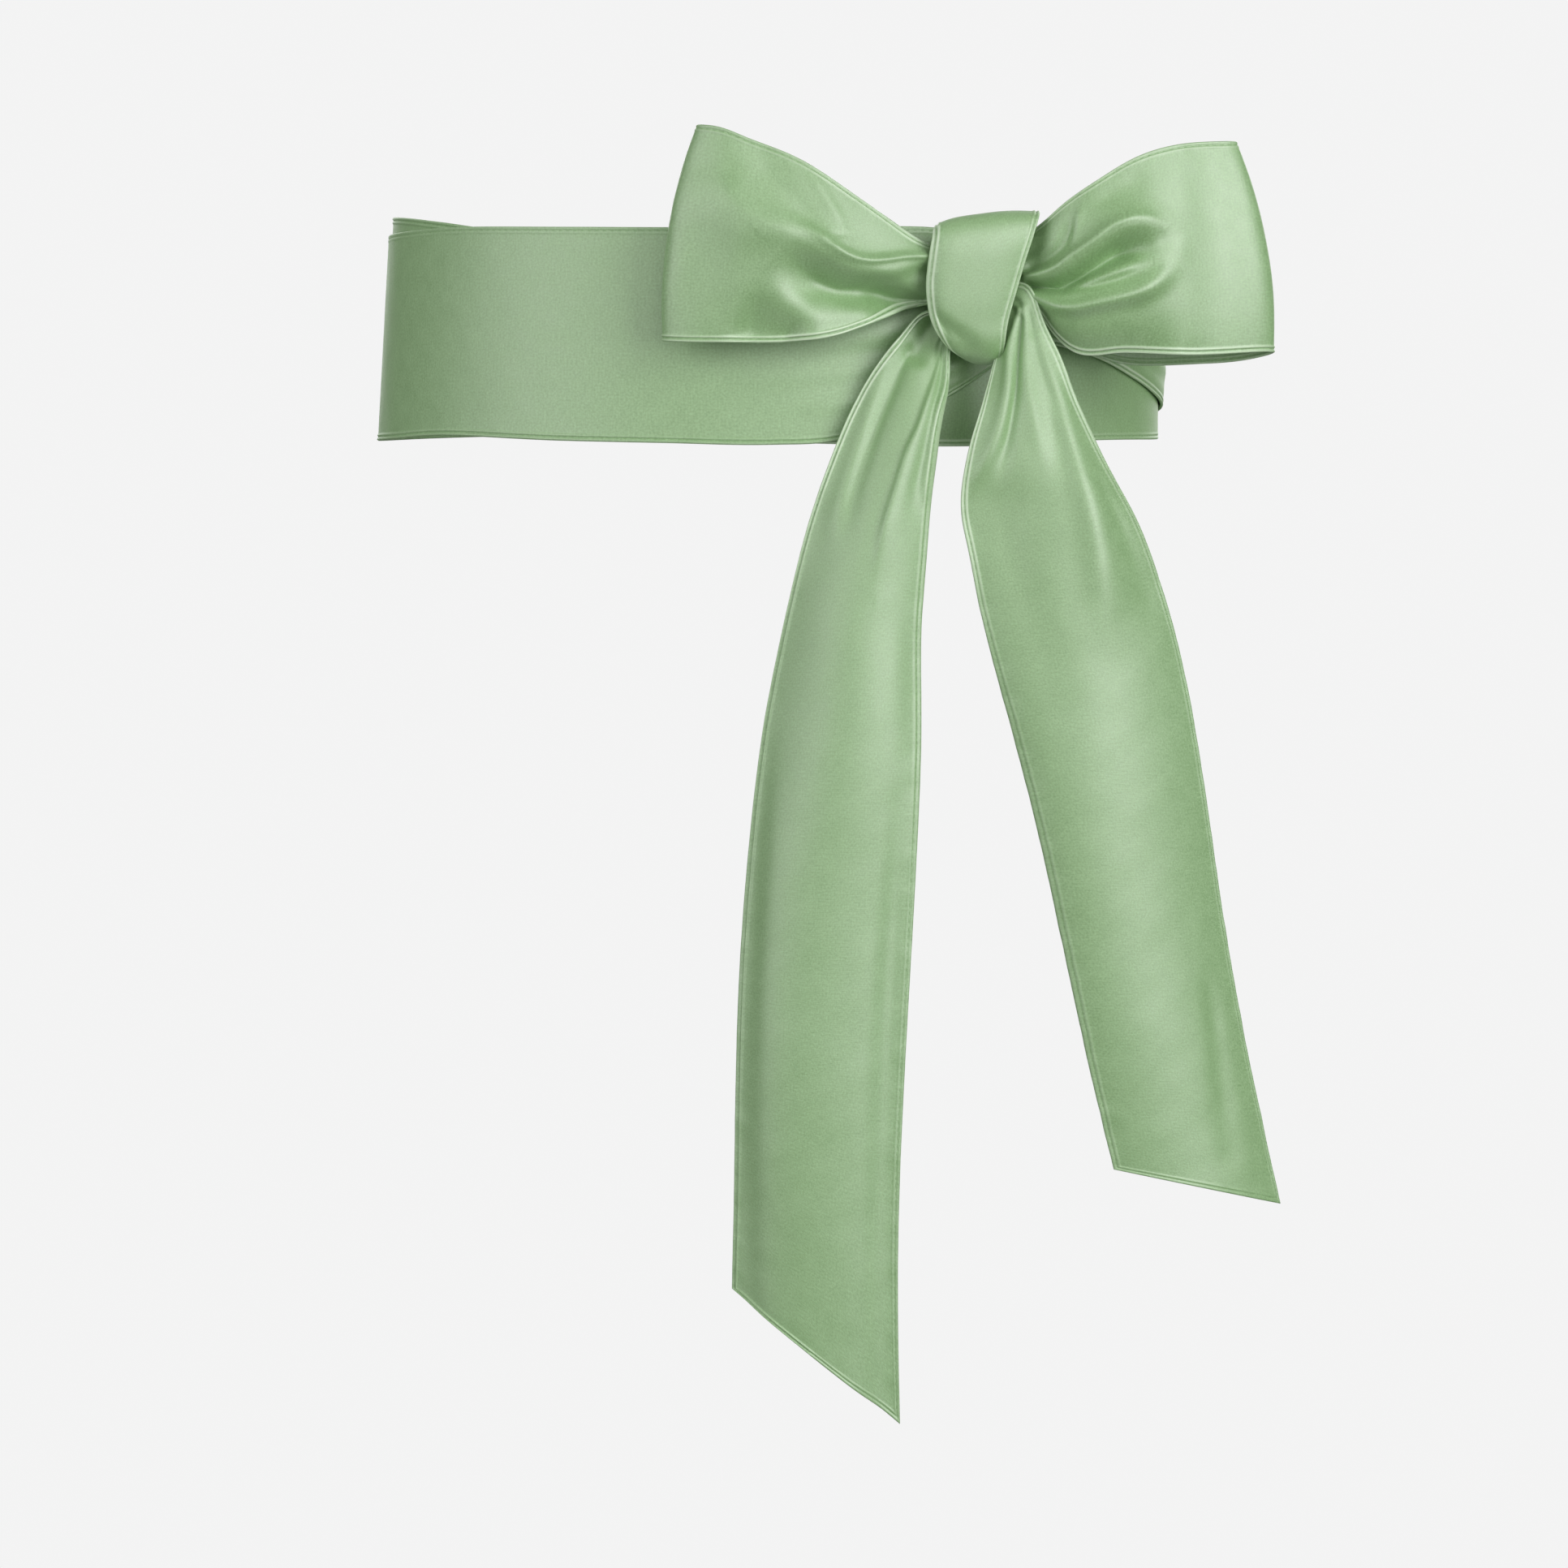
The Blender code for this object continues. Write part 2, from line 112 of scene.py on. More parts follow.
OUTER_TURN = table(TURN_COLUMNS, [
    (36.8, 0.0, 0.457, 0.4),
    (44, -2.0, 0.529, 1.4),
    (53, -6.0, 0.636, 1.9),
    (65, -13.0, 0.779, 1.6),
    (78, -19.5, 0.900, 1.2),
    (90, -23.5, 0.964, 0.8),
    (115, -28.6, 0.994, 0.3),
    (145, -32.6, 1.000, 0.0),
    (180, -34.8, 1.000, 0.0),
    (225, -34.6, 0.997, 0.0),
    (270, -34.6, 0.991, 0.0),
    (291, -33.2, 0.986, 0.0),
    (304, -31.7, 0.976, 0.0),
    (330, -32.7, 0.984, 0.0),
    (345, -33.2, 0.986, 0.0),
    (360, -33.7, 0.993, 0.1),
    (368, -32.8, 0.983, 0.5),
    (376, -28.0, 0.917, 1.3),
    (385, -18.8, 0.774, 1.6),
    (393.6, -8.0, 0.557, 0.4),
])
GATHERS = 3

# Sections of a stretch of ribbon: the two edges and how far the cloth between them is crowned.
# Peak is where the crown is highest, from 0 at the low edge to 1 at the high edge, and sag is
# how far the middle of the section hangs below its edges.
SECTION_COLUMNS = "low_x low_y low_z high_x high_y high_z crown peak sag"

# From the neck at the front, round the tip, to the neck at the back.
LEFT_LOOP = table(SECTION_COLUMNS, [
    (61.0, -103.0, 12.5, 61.0, -103.0, 27.5, 0.0, 0.50, 0.0),
    (50.5, -103.6, 10.5, 50.5, -106.2, 30.0, 0.8, 0.60, 0.0),
    (38.0, -107.6, 7.4, 37.0, -109.9, 38.2, 2.8, 0.55, 0.0),
    (22.0, -112.6, 1.8, 23.0, -113.2, 47.9, 4.6, 0.50, 0.0),
    (5.0, -116.5, -0.8, 8.0, -115.0, 57.2, 5.0, 0.50, 0.0),
    (-14.0, -115.5, -1.0, -8.5, -114.5, 63.8, 4.0, 0.50, 0.0),
    (-28.0, -112.8, -0.9, -18.5, -112.6, 67.3, 2.5, 0.50, 0.0),
    (-34.6, -107.6, -0.6, -23.6, -107.6, 67.8, 3.9, 0.50, 0.0),
    (-28.0, -103.0, -0.4, -18.0, -103.0, 67.0, 0.8, 0.50, 0.0),
    (-10.0, -101.4, 0.2, -5.0, -101.8, 62.6, 0.0, 0.50, 0.0),
    (8.0, -101.0, 1.4, 9.5, -101.6, 56.0, 0.0, 0.50, 0.0),
    (24.0, -100.6, 4.4, 24.0, -101.2, 47.0, 0.0, 0.50, 0.0),
    (38.0, -99.8, 8.0, 37.5, -100.0, 38.4, 0.0, 0.50, 0.0),
    (50.5, -98.6, 11.0, 50.5, -98.6, 30.0, 0.0, 0.50, 0.0),
    (61.0, -97.2, 12.5, 61.0, -97.2, 27.5, 0.0, 0.50, 0.0),
])

RIGHT_LOOP = table(SECTION_COLUMNS, [
    (70.0, -101.0, 17.5, 70.0, -101.0, 32.5, 0.0, 0.50, 0.0),
    (80.0, -101.0, 14.6, 82.7, -99.3, 34.8, 0.5, 0.50, 0.0),
    (87.2, -104.8, 4.2, 92.0, -104.0, 42.4, 2.5, 0.50, 0.0),
    (96.0, -107.8, -4.0, 103.0, -106.5, 50.2, 4.5, 0.50, 0.0),
    (110.0, -109.0, -4.1, 115.5, -105.5, 57.6, 5.0, 0.45, 0.0),
    (128.0, -105.5, -4.8, 129.0, -101.5, 61.8, 4.5, 0.45, 0.0),
    (147.0, -98.0, -4.6, 141.0, -96.4, 63.0, 3.0, 0.45, 0.0),
    (161.6, -89.0, -4.4, 148.6, -91.0, 63.1, 4.0, 0.50, 0.0),
    (154.0, -83.0, -6.6, 142.5, -85.2, 62.4, 1.2, 0.50, 0.0),
    (138.0, -80.6, -8.0, 130.0, -83.2, 60.6, 0.0, 0.50, 0.0),
    (120.0, -80.8, -8.5, 117.0, -84.0, 57.4, 0.0, 0.50, 0.0),
    (106.0, -83.6, -5.8, 104.5, -86.8, 49.6, 0.0, 0.50, 0.0),
    (94.0, -88.0, 2.4, 93.5, -90.4, 41.6, 0.0, 0.50, 0.0),
    (82.0, -92.0, 14.4, 83.0, -93.4, 34.8, 0.0, 0.50, 0.0),
    (70.0, -95.0, 17.5, 70.0, -95.0, 32.5, 0.0, 0.50, 0.0),
])

# Round the bow's middle: down the front, under, up the back and over the top.
# The low edge is the one at the wearer's right.
KNOT_WRAP = table(SECTION_COLUMNS, [
    (51.3, -109.2, 34.0, 84.8, -104.6, 37.8, 3.4, 0.36, 0.0),
    (50.4, -111.0, 29.6, 83.0, -106.6, 32.0, 4.0, 0.36, 0.0),
    (49.5, -110.9, 23.4, 80.6, -106.9, 24.6, 4.3, 0.36, 0.0),
    (49.0, -110.4, 17.0, 78.4, -106.8, 17.0, 4.4, 0.36, 0.0),
    (49.6, -109.8, 10.4, 76.4, -106.6, 10.2, 4.3, 0.37, 0.0),
    (51.0, -109.0, 5.0, 75.0, -106.4, 4.4, 4.0, 0.38, 0.0),
    (53.6, -107.9, 0.6, 74.3, -106.0, -0.6, 3.6, 0.40, 0.0),
    (57.0, -105.4, -3.0, 73.6, -104.0, -4.6, 2.8, 0.42, 0.0),
    (62.0, -100.0, -6.0, 72.4, -98.0, -6.6, 1.5, 0.50, 0.0),
    (58.0, -95.2, -3.0, 75.0, -90.8, -3.0, 0.5, 0.50, 0.0),
    (52.4, -94.5, 8.0, 78.0, -85.9, 8.0, 0.0, 0.50, 0.0),
    (52.0, -94.8, 26.0, 81.0, -85.6, 26.0, 0.0, 0.50, 0.0),
    (52.4, -97.0, 33.0, 84.0, -89.4, 37.2, 0.5, 0.50, 0.0),
    (52.0, -103.0, 35.2, 85.6, -96.8, 40.4, 1.6, 0.50, 0.0),
])

# From the neck down to the slanting cut end. The low edge is the one at the wearer's right.
LEFT_TAIL = table(SECTION_COLUMNS, [
    (60.5, -101.5, 8.2, 61.5, -102.0, 0.2, 0.0, 0.50, 0.0),
    (49.6, -101.2, 9.0, 57.0, -101.0, -3.0, 0.3, 0.50, 0.0),
    (42.8, -102.2, 3.6, 56.2, -103.4, -12.4, 1.0, 0.66, 0.0),
    (34.4, -102.8, -7.0, 55.2, -107.4, -21.4, 2.6, 0.70, 0.0),
    (25.6, -103.6, -21.8, 53.6, -109.9, -30.5, 4.4, 0.68, 0.0),
    (19.5, -105.0, -36.0, 52.3, -111.0, -40.0, 6.0, 0.66, 0.0),
    (13.0, -106.4, -54.0, 50.5, -112.0, -54.5, 8.0, 0.62, 0.0),
    (8.4, -106.8, -70.5, 49.2, -113.0, -70.5, 10.0, 0.58, 0.0),
    (3.4, -107.0, -92.5, 47.6, -114.5, -92.5, 11.5, 0.55, 0.0),
    (-2.4, -107.5, -121.5, 47.6, -116.0, -121.5, 12.5, 0.55, 0.0),
    (-7.2, -108.5, -160.5, 46.4, -118.0, -160.5, 12.5, 0.48, 0.0),
    (-10.2, -110.0, -200.0, 44.2, -119.3, -202.0, 12.0, 0.43, 0.0),
    (-11.6, -112.0, -240.0, 41.8, -120.4, -248.0, 11.0, 0.42, 0.0),
    (-12.2, -113.2, -275.0, 40.4, -120.6, -298.0, 9.6, 0.43, -0.6),
    (-12.9, -113.6, -306.0, 41.2, -119.6, -349.4, 8.4, 0.45, -1.6),
])

RIGHT_TAIL = table(SECTION_COLUMNS, [
    (69.0, -98.8, -1.0, 72.0, -100.2, 17.0, 0.0, 0.50, 0.0),
    (71.4, -101.6, -3.0, 80.0, -103.2, 18.2, 0.3, 0.50, 0.0),
    (69.6, -105.2, -12.6, 86.2, -105.8, 7.4, 1.0, 0.50, 0.0),
    (66.9, -108.2, -21.2, 91.8, -106.8, -4.6, 2.4, 0.50, 0.0),
    (63.9, -109.6, -30.4, 96.4, -106.6, -16.6, 4.5, 0.50, 0.0),
    (61.5, -110.6, -40.4, 101.8, -106.2, -28.8, 6.0, 0.55, 0.0),
    (60.2, -111.0, -52.4, 108.2, -105.0, -41.6, 8.6, 0.66, 0.0),
    (62.4, -111.2, -66.0, 116.2, -103.0, -56.0, 10.4, 0.62, 0.0),
    (65.9, -111.2, -83.5, 124.4, -99.4, -76.0, 11.6, 0.54, 0.0),
    (71.9, -111.4, -107.0, 131.6, -96.0, -100.0, 12.0, 0.46, 0.0),
    (82.3, -111.4, -145.3, 140.2, -92.6, -143.6, 11.5, 0.42, 0.0),
    (93.2, -111.0, -192.5, 147.6, -89.6, -190.0, 10.5, 0.42, 0.0),
    (101.9, -109.8, -232.0, 155.4, -87.4, -231.0, 10.0, 0.45, 0.0),
    (110.7, -108.4, -267.8, 167.2, -85.4, -283.3, 9.0, 0.48, 0.0),
])

# The pleats at the necks: how many lie across the ribbon, how deep they are in millimetres, how
# far out of the neck they have run out, as a share of the stretch's length, and how unevenly they
# lie. The first row of each stretch is its broad pleats, the second the narrow ones between them.
PLEAT_COLUMNS = "count depth reach unevenness"
LOOP_PLEATS = table(PLEAT_COLUMNS, [
    (2.5, 0.8, 0.16, 0.00),
    (6.5, 0.3, 0.07, 0.25),
])
LEFT_TAIL_PLEATS = table(PLEAT_COLUMNS, [
    (2.0, 0.4, 0.18, 0.00),
    (5.0, 0.2, 0.06, 0.25),
])
RIGHT_TAIL_PLEATS = table(PLEAT_COLUMNS, [
    (2.5, 0.3, 0.20, 0.00),
    (6.0, 0.2, 0.06, 0.20),
])

# The folds. Each runs along a path seen from the front, given as its points' x and z from the
# knot outwards. Height is how far it stands out of the cloth (less than 0 is a trough). Its half
# width goes from the first width to the second. Lean is how much wider it is on its left, as it
# runs away from the knot, than on the mean of both sides. Crest is 2 for a soft bell and less for
# a sharp crease, and start and end are how much of its height it has at its two ends.
FOLD_COLUMNS = "height near_width far_width lean crest start end path".split()


def folds(*rows):
    """Gives each fold of a table as a dictionary of its named values."""
    return [dict(zip(FOLD_COLUMNS, row)) for row in rows]


LEFT_LOOP_FOLDS = folds(
    (2.8, 3.0, 8.2, 0.9, 2.0, 0.9, 0.3,
     [(48.5, 25.6), (43.1, 24.6), (37.7, 23.0), (31.0, 22.0), (25.4, 23.0), (20.7, 25.6), (16.1, 29.7),
      (11.5, 32.7), (6.9, 35.3)]),
    (2.6, 5.0, 12.0, 1.3, 2.0, 0.3, 0.0,
     [(13.5, 31.2), (7.9, 32.7), (1.7, 34.3), (-4.4, 37.3), (-10.0, 41.4), (-15.2, 46.5), (-18.7, 52.1),
      (-20.8, 56.6)]),
    (-9.0, 2.6, 7.6, 1.15, 2.0, 0.5, 0.1,
     [(49.8, 11.3), (43.4, 12.1), (38.2, 13.6), (34.1, 14.9), (30.0, 15.4), (25.9, 15.4), (21.3, 15.6),
      (17.2, 16.9), (13.0, 18.9), (8.7, 22.0), (4.8, 25.1), (1.5, 28.1)]),
    (1.5, 0.9, 1.8, 1.0, 1.8, 0.8, 0.1,
     [(48.5, 27.1), (40.8, 26.6), (35.6, 25.8), (30.5, 25.3), (25.4, 25.8), (20.2, 27.9), (15.1, 32.0),
      (10.0, 35.5), (5.3, 37.6)]),
    (0.8, 1.2, 2.2, 1.0, 2.0, 0.2, 0.6,
     [(40.3, 16.9), (36.7, 16.9), (32.6, 16.7), (28.5, 14.9)]),
    (1.2, 4.0, 6.0, 0.75, 2.0, 0.0, 0.1,
     [(29.0, 10.8), (23.3, 11.3), (17.7, 13.8), (12.5, 17.9), (8.4, 22.0), (3.8, 25.6)]),
    (-5.0, 5.0, 11.0, 0.8, 2.0, 0.0, 0.0,
     [(13.6, -1.0), (6.9, 0.0), (-0.3, 1.6), (-6.7, 3.6), (-14.4, 6.7)]),
    (-2.0, 3.0, 4.0, 0.8, 2.0, 1.0, 0.0,
     [(50.6, 9.8), (44.7, 9.5), (39.5, 9.5), (34.4, 9.2), (28.5, 7.7)]),
    (-1.3, 3.0, 6.0, 1.0, 2.0, 0.2, 0.2,
     [(16.6, 31.2), (9.4, 39.9), (2.8, 48.5), (-3.4, 56.6), (-8.0, 62.7)]),
    (0.7, 1.8, 2.6, 1.0, 2.0, 0.3, 0.1,
     [(21.8, 34.3), (20.2, 38.3), (17.6, 42.9), (14.1, 49.0), (10.5, 54.1)]),
    (-0.3, 1.0, 1.0, 1.0, 1.8, 0.4, 0.2,
     [(18.2, 33.2), (20.7, 33.0), (23.8, 33.7)]),
    (1.2, 1.6, 3.0, 1.0, 2.0, 0.9, 0.1,
     [(49.5, 7.2), (40.8, 7.2), (33.1, 4.6), (25.4, 2.3), (16.4, 1.1), (3.5, 1.1)]),
)

RIGHT_LOOP_FOLDS = folds(
    (3.6, 1.6, 5.4, 1.15, 2.0, 0.9, 0.1,
     [(81.4, 19.1), (86.6, 19.1), (91.5, 20.6), (96.6, 24.7), (101.8, 28.6), (108.2, 34.0), (114.7, 36.6),
      (119.8, 36.3), (123.7, 34.0), (125.8, 30.4)]),
    (-7.4, 1.4, 5.0, 1.0, 2.0, 0.3, 0.1,
     [(81.9, 17.0), (87.1, 16.5), (91.5, 17.0), (96.7, 18.8), (101.8, 21.7), (108.3, 25.8), (114.7, 28.3),
      (119.9, 29.4), (122.2, 30.4)]),
    (1.4, 0.9, 1.5, 1.0, 1.8, 0.9, 0.1,
     [(81.4, 19.9), (86.6, 20.6), (91.5, 22.4), (96.6, 26.8), (101.8, 30.7), (108.2, 36.3), (114.6, 38.6),
      (119.8, 37.8), (123.7, 35.5)]),
    (1.8, 1.2, 2.4, 1.0, 2.0, 0.2, 0.1,
     [(91.8, 16.0), (96.7, 17.0), (101.8, 19.3), (108.3, 21.7), (114.7, 24.2), (120.2, 25.8)]),
    (-1.2, 1.0, 2.0, 1.0, 2.0, 0.5, 0.1,
     [(92.8, 15.5), (101.9, 16.5), (108.3, 18.3), (114.8, 20.6), (119.1, 22.7)]),
    (3.4, 1.8, 3.8, 1.0, 2.0, 0.6, 0.1,
     [(83.5, 13.9), (87.7, 11.6), (91.8, 10.1), (96.7, 9.8), (102.7, 11.1), (108.9, 12.7), (115.3, 14.7),
      (120.5, 17.8), (124.3, 21.7), (126.4, 26.8)]),
    (-1.5, 0.8, 1.2, 1.0, 1.5, 0.9, 0.1,
     [(80.9, 17.0), (86.3, 16.8), (91.5, 16.0), (96.7, 15.5)]),
    (-6.0, 4.0, 13.0, 1.0, 2.0, 0.6, 0.1,
     [(85.1, 6.2), (89.3, -0.5), (95.0, -5.1), (102.0, -7.2), (111.1, -7.7), (121.4, -7.7),
      (131.8, -8.2)]),
    (-1.6, 1.8, 2.4, 1.0, 2.0, 0.8, 0.1,
     [(82.9, 22.7), (87.6, 24.7), (92.2, 28.1), (94.8, 33.0), (96.5, 40.2)]),
    (0.9, 1.1, 1.5, 1.0, 1.8, 0.1, 0.1,
     [(95.1, 27.3), (96.6, 32.7), (97.8, 38.4), (99.4, 43.7)]),
    (-1.0, 3.0, 5.0, 1.0, 2.0, 0.1, 0.1,
     [(101.7, 40.2), (107.1, 45.3), (113.8, 49.4), (121.0, 52.5)]),
)

# The folds on the loops' backs lean into the loop, away from the turns behind them.
LEFT_LOOP_BACK_FOLDS = folds(
    (-1.6, 2.4, 5.0, 1.2, 2.0, 0.6, 0.0,
     [(49, 24.5), (38, 27.0), (24, 32.0), (8, 36.0), (-8, 41.0)]),
    (-1.3, 2.0, 4.0, 0.8, 2.0, 0.6, 0.0,
     [(49, 18.0), (36, 17.0), (22, 17.5), (6, 14.0), (-6, 12.5)]),
    (-0.9, 1.6, 3.0, 1.0, 1.6, 0.6, 0.0,
     [(48, 28.0), (38, 33.5), (26, 40.5), (12, 46.0)]),
)
RIGHT_LOOP_BACK_FOLDS = folds(
    (-1.8, 2.4, 5.0, 1.2, 2.0, 0.6, 0.0,
     [(83, 27.0), (94, 30.0), (108, 36.0), (122, 38.0), (134, 43.0)]),
    (-1.4, 2.0, 4.2, 0.8, 2.0, 0.6, 0.0,
     [(83, 20.0), (94, 16.0), (108, 15.0), (124, 19.0), (136, 18.0)]),
    (-1.0, 1.6, 3.0, 1.0, 1.6, 0.6, 0.0,
     [(83, 16.5), (92, 9.0), (104, 3.5), (118, 2.0)]),
)

KNOT_FOLDS = folds(
    (-0.8, 0.8, 1.0, 1.0, 1.6, 0.6, 0.4,
     [(52.2, 35.4), (51.4, 27.7), (50.9, 18.7), (52.0, 8.5), (55.9, 1.6)]),
    (-0.5, 0.6, 0.7, 1.0, 1.6, 0.6, 0.4,
     [(50.1, 30.3), (49.6, 22.6), (49.6, 14.9), (50.7, 7.2)]),
    (-1.5, 2.4, 4.0, 0.8, 2.0, 0.2, 0.3,
     [(51.2, 8.8), (55.3, 4.1), (61.0, 0.0), (67.7, -3.6)]),
    (0.4, 0.7, 0.8, 1.0, 1.8, 0.8, 0.5,
     [(85.1, 35.9), (81.5, 25.1), (79.0, 17.5), (75.9, 8.2), (73.9, -0.5)]),
)

LEFT_TAIL_FOLDS = folds(
    (-3.0, 3.5, 3.5, 1.0, 2.0, 1.0, 0.0,
     [(51.8, 4.7), (49.2, 0.0), (46.6, -4.6), (44.1, -9.7)]),
    (1.4, 1.6, 5.0, 1.0, 2.0, 0.4, 0.0,
     [(39.4, -1.8), (35.3, -10.8), (32.2, -19.8), (28.9, -30.8), (24.2, -46.3), (20.4, -59.8),
      (18.3, -72.7)]),
    (-1.8, 1.8, 3.4, 1.0, 2.0, 0.8, 0.0,
     [(43.5, -3.6), (41.0, -9.7), (38.4, -16.4), (34.3, -26.2), (30.7, -36.0), (26.1, -51.5),
      (24.0, -67.5)]),
    (2.2, 1.5, 4.5, 1.5, 2.0, 0.4, 0.1,
     [(53.9, -5.6), (51.8, -13.3), (49.8, -21.1), (48.0, -28.0), (44.7, -35.7), (41.1, -47.4),
      (37.5, -59.8), (34.4, -80.5)]),
    (-1.0, 0.9, 2.2, 1.0, 2.0, 0.6, 0.0,
     [(54.6, -5.6), (52.9, -15.9), (51.1, -24.9), (49.0, -36.5), (46.5, -46.8), (44.2, -59.8)]),
    (1.4, 0.9, 2.2, 1.0, 2.0, 0.7, 0.0,
     [(56.4, -3.6), (55.2, -14.6), (53.4, -23.6), (51.4, -33.9), (50.1, -43.0), (49.4, -53.3),
      (48.6, -64.9)]),
    (-0.9, 3.0, 4.0, 1.0, 2.0, 0.0, 0.0,
     [(43.7, -83.1), (44.8, -98.7), (45.1, -116.9), (44.4, -140.4)]),
    (-1.8, 3.0, 5.0, 1.0, 2.0, 0.0, 0.8,
     [(2.2, -111.7), (-2.4, -148.2), (-5.6, -195.5), (-7.7, -248.3), (-7.8, -298.8), (-8.0, -325.0)]),
    (-2.2, 3.0, 6.0, 1.0, 2.0, 0.0, 1.0,
     [(43.3, -124.7), (40.3, -164.0), (37.8, -203.4), (35.8, -256.3), (35.4, -320.2), (35.4, -362.0)]),
)

RIGHT_TAIL_FOLDS = folds(
    (1.8, 0.9, 3.2, 1.0, 2.0, 0.6, 0.0,
     [(79.1, 9.3), (77.8, 3.6), (76.3, -3.8), (75.1, -14.6), (73.0, -22.9), (70.7, -30.8), (67.4, -39.1),
      (63.8, -47.4), (61.8, -57.2)]),
    (-1.9, 0.8, 2.6, 1.0, 2.0, 0.6, 0.0,
     [(79.9, 6.7), (78.9, -5.6), (78.2, -14.6), (76.9, -22.9), (75.4, -30.8), (73.4, -39.1),
      (71.3, -49.4)]),
    (1.3, 1.0, 4.0, 1.0, 2.0, 0.6, 0.0,
     [(80.9, 9.8), (80.7, -1.0), (80.7, -12.0), (82.3, -21.1), (84.2, -31.4), (86.6, -44.3)]),
    (-1.0, 0.9, 2.6, 1.0, 2.0, 0.7, 0.0,
     [(81.9, 8.8), (83.8, -0.5), (86.1, -9.5), (89.0, -18.5), (93.2, -28.8)]),
    (2.8, 2.2, 8.0, 1.1, 2.0, 0.3, 0.0,
     [(83.8, -0.5), (89.0, -13.8), (94.0, -28.8), (97.4, -41.7), (100.1, -52.8), (102.0, -63.7),
      (103.3, -74.5), (103.9, -88.3), (103.5, -103.9)]),
    (-1.0, 1.5, 6.0, 1.0, 2.0, 0.3, 0.0,
     [(103.1, -44.3), (109.4, -57.2), (115.2, -70.1), (120.0, -83.1), (123.7, -96.1)]),
    (-0.8, 2.4, 11.0, 1.1, 2.0, 0.0, 0.0,
     [(74.6, -36.5), (73.7, -49.4), (75.8, -67.5), (80.6, -85.7), (85.9, -106.5), (91.2, -129.9),
      (97.1, -153.5)]),
    (-1.0, 3.0, 5.0, 1.0, 2.0, 0.0, 0.6,
     [(138.1, -200.8), (142.2, -227.1), (144.6, -251.0), (146.5, -264.2)]),
)

OUTER_TURN_FOLDS = folds(
    (0.4, 1.6, 5.0, 1.0, 2.0, 0.6, 0.0,
     [(60.0, 6.0), (45.0, -4.0), (25.0, -10.0), (0.0, -12.0), (-25.0, -13.0)]),
    (0.3, 1.4, 4.0, 1.0, 2.0, 0.6, 0.0,
     [(60.0, -2.0), (45.0, -14.0), (28.0, -20.0), (8.0, -23.0)]),
    (0.5, 1.4, 4.0, 1.0, 2.0, 0.6, 0.0,
     [(80.0, 8.0), (92.0, 2.0), (106.0, -6.0), (118.0, -12.0)]),
)

# Small slow waves that no worn cloth is without: their length along the ribbon and their heading
# across it, where they start, and their share of the whole.
WAVES = table("length heading start share", [
    (83.0, 0.35, 0.7, 0.30),
    (47.0, -0.60, 2.1, 0.28),
    (31.0, 0.85, 4.4, 0.20),
    (19.0, -0.25, 5.3, 0.12),
    (12.5, 0.50, 1.2, 0.10),
])
CLOTH_WAVE = 0.20
TURN_WAVE_SHARE = 0.5
# The cloth waves only where a row is wide: from this share of the ribbon's width, and fully once
# it is wider by the second share.
OPEN_FROM = 0.3
OPEN_SPAN = 0.5
# The hems pucker in shorter waves, which the sum above gives when the length is multiplied.
HEM_WAVE = 0.22
HEM_WAVE_REACH = 7.0
HEM_WAVE_RATE = 3.1
HEM_WAVE_START = 9

# The pleats lie unevenly: they are pushed to and fro by this many waves across the ribbon.
PLEAT_DRIFT_WAVES = 1.3
PLEAT_DRIFT_START = 0.8
# Between the gathers of a turn lie finer ones.
FINE_GATHERS = 7
FINE_GATHER_DRIFT = 0.3
FINE_GATHER_DRIFT_RATE = 5
FINE_GATHER_SHARE = 0.35
# Steps along a fold's path, and the part of its length, one in three, that each end takes up.
FOLD_STEPS = 32
FOLD_ENDS = 3
# Folds of one side show where the cloth's way out points that way by the first share, and are
# whole once it does by the second share more.
FACING_FROM = 0.1
FACING_SPAN = 0.5

# Columns of points across each hem, between the hems, and rows along each stretch.
GRID = {
    "inner_turn": (12, 26, 420),
    "outer_turn": (12, 40, 620),
    "left_loop": (14, 88, 260),
    "right_loop": (14, 88, 260),
    "knot_wrap": (12, 54, 180),
    "left_tail": (14, 62, 300),
    "right_tail": (14, 62, 280),
}

# The satin's colours, gloss and weave. The noises' scales are in waves to the metre.
SATIN_COLOUR = (0.184, 0.348, 0.122)
SATIN_PALE = (0.308, 0.512, 0.230)
SATIN_ROUGHNESS = 0.52
ROUGHNESS_CHANGE = 0.22
SATIN_IOR = 2.4
WARP_PITCH = 0.30
WEFT_PITCH = 0.42
WEAVE_HEIGHT = 0.030
WEAVE_STRENGTH = 0.5
SLUB_LENGTH = 4.0
SLUB_WIDTH = 0.55
MOTTLE_SCALE = 160.0
GRAIN_SCALE = 1400.0
# What each pattern adds to the relief, to the paler tint and to the roughness, and the levels of
# the tint and of the roughness that the patterns start from.
RELIEF_SHARES = {"warp": 0.35, "weft": 0.25, "slubs": 1.4, "grain": 1.3}
TINT_SHARES = {"slubs": 0.9, "grain": 1.8, "mottle": 0.4}
TINT_START = 1.05
GLOSS_SHARES = {"mottle": 0.6, "grain": 0.4}
GLOSS_START = 0.5

# The painted highlights on the hems' crests, a pale colour that the cloth's colour is mixed to: the
# sine that makes them, where it stops, how weak it is at the ribbon's second edge, and how it fades
# along the ribbon away from the knot.
HEM_HIGHLIGHT_COLOUR = (0.64, 0.80, 0.56)
CREST_START = 0.1
CREST_PITCH = 1.4
CREST_STOP = (2.3, 2.5)
CREST_EDGES = (30, 40)
CREST_EDGE_LEVELS = (1.0, 0.4)
CREST_FADE = (40, 115)
CREST_FADE_LEVELS = (1.0, 0.15)

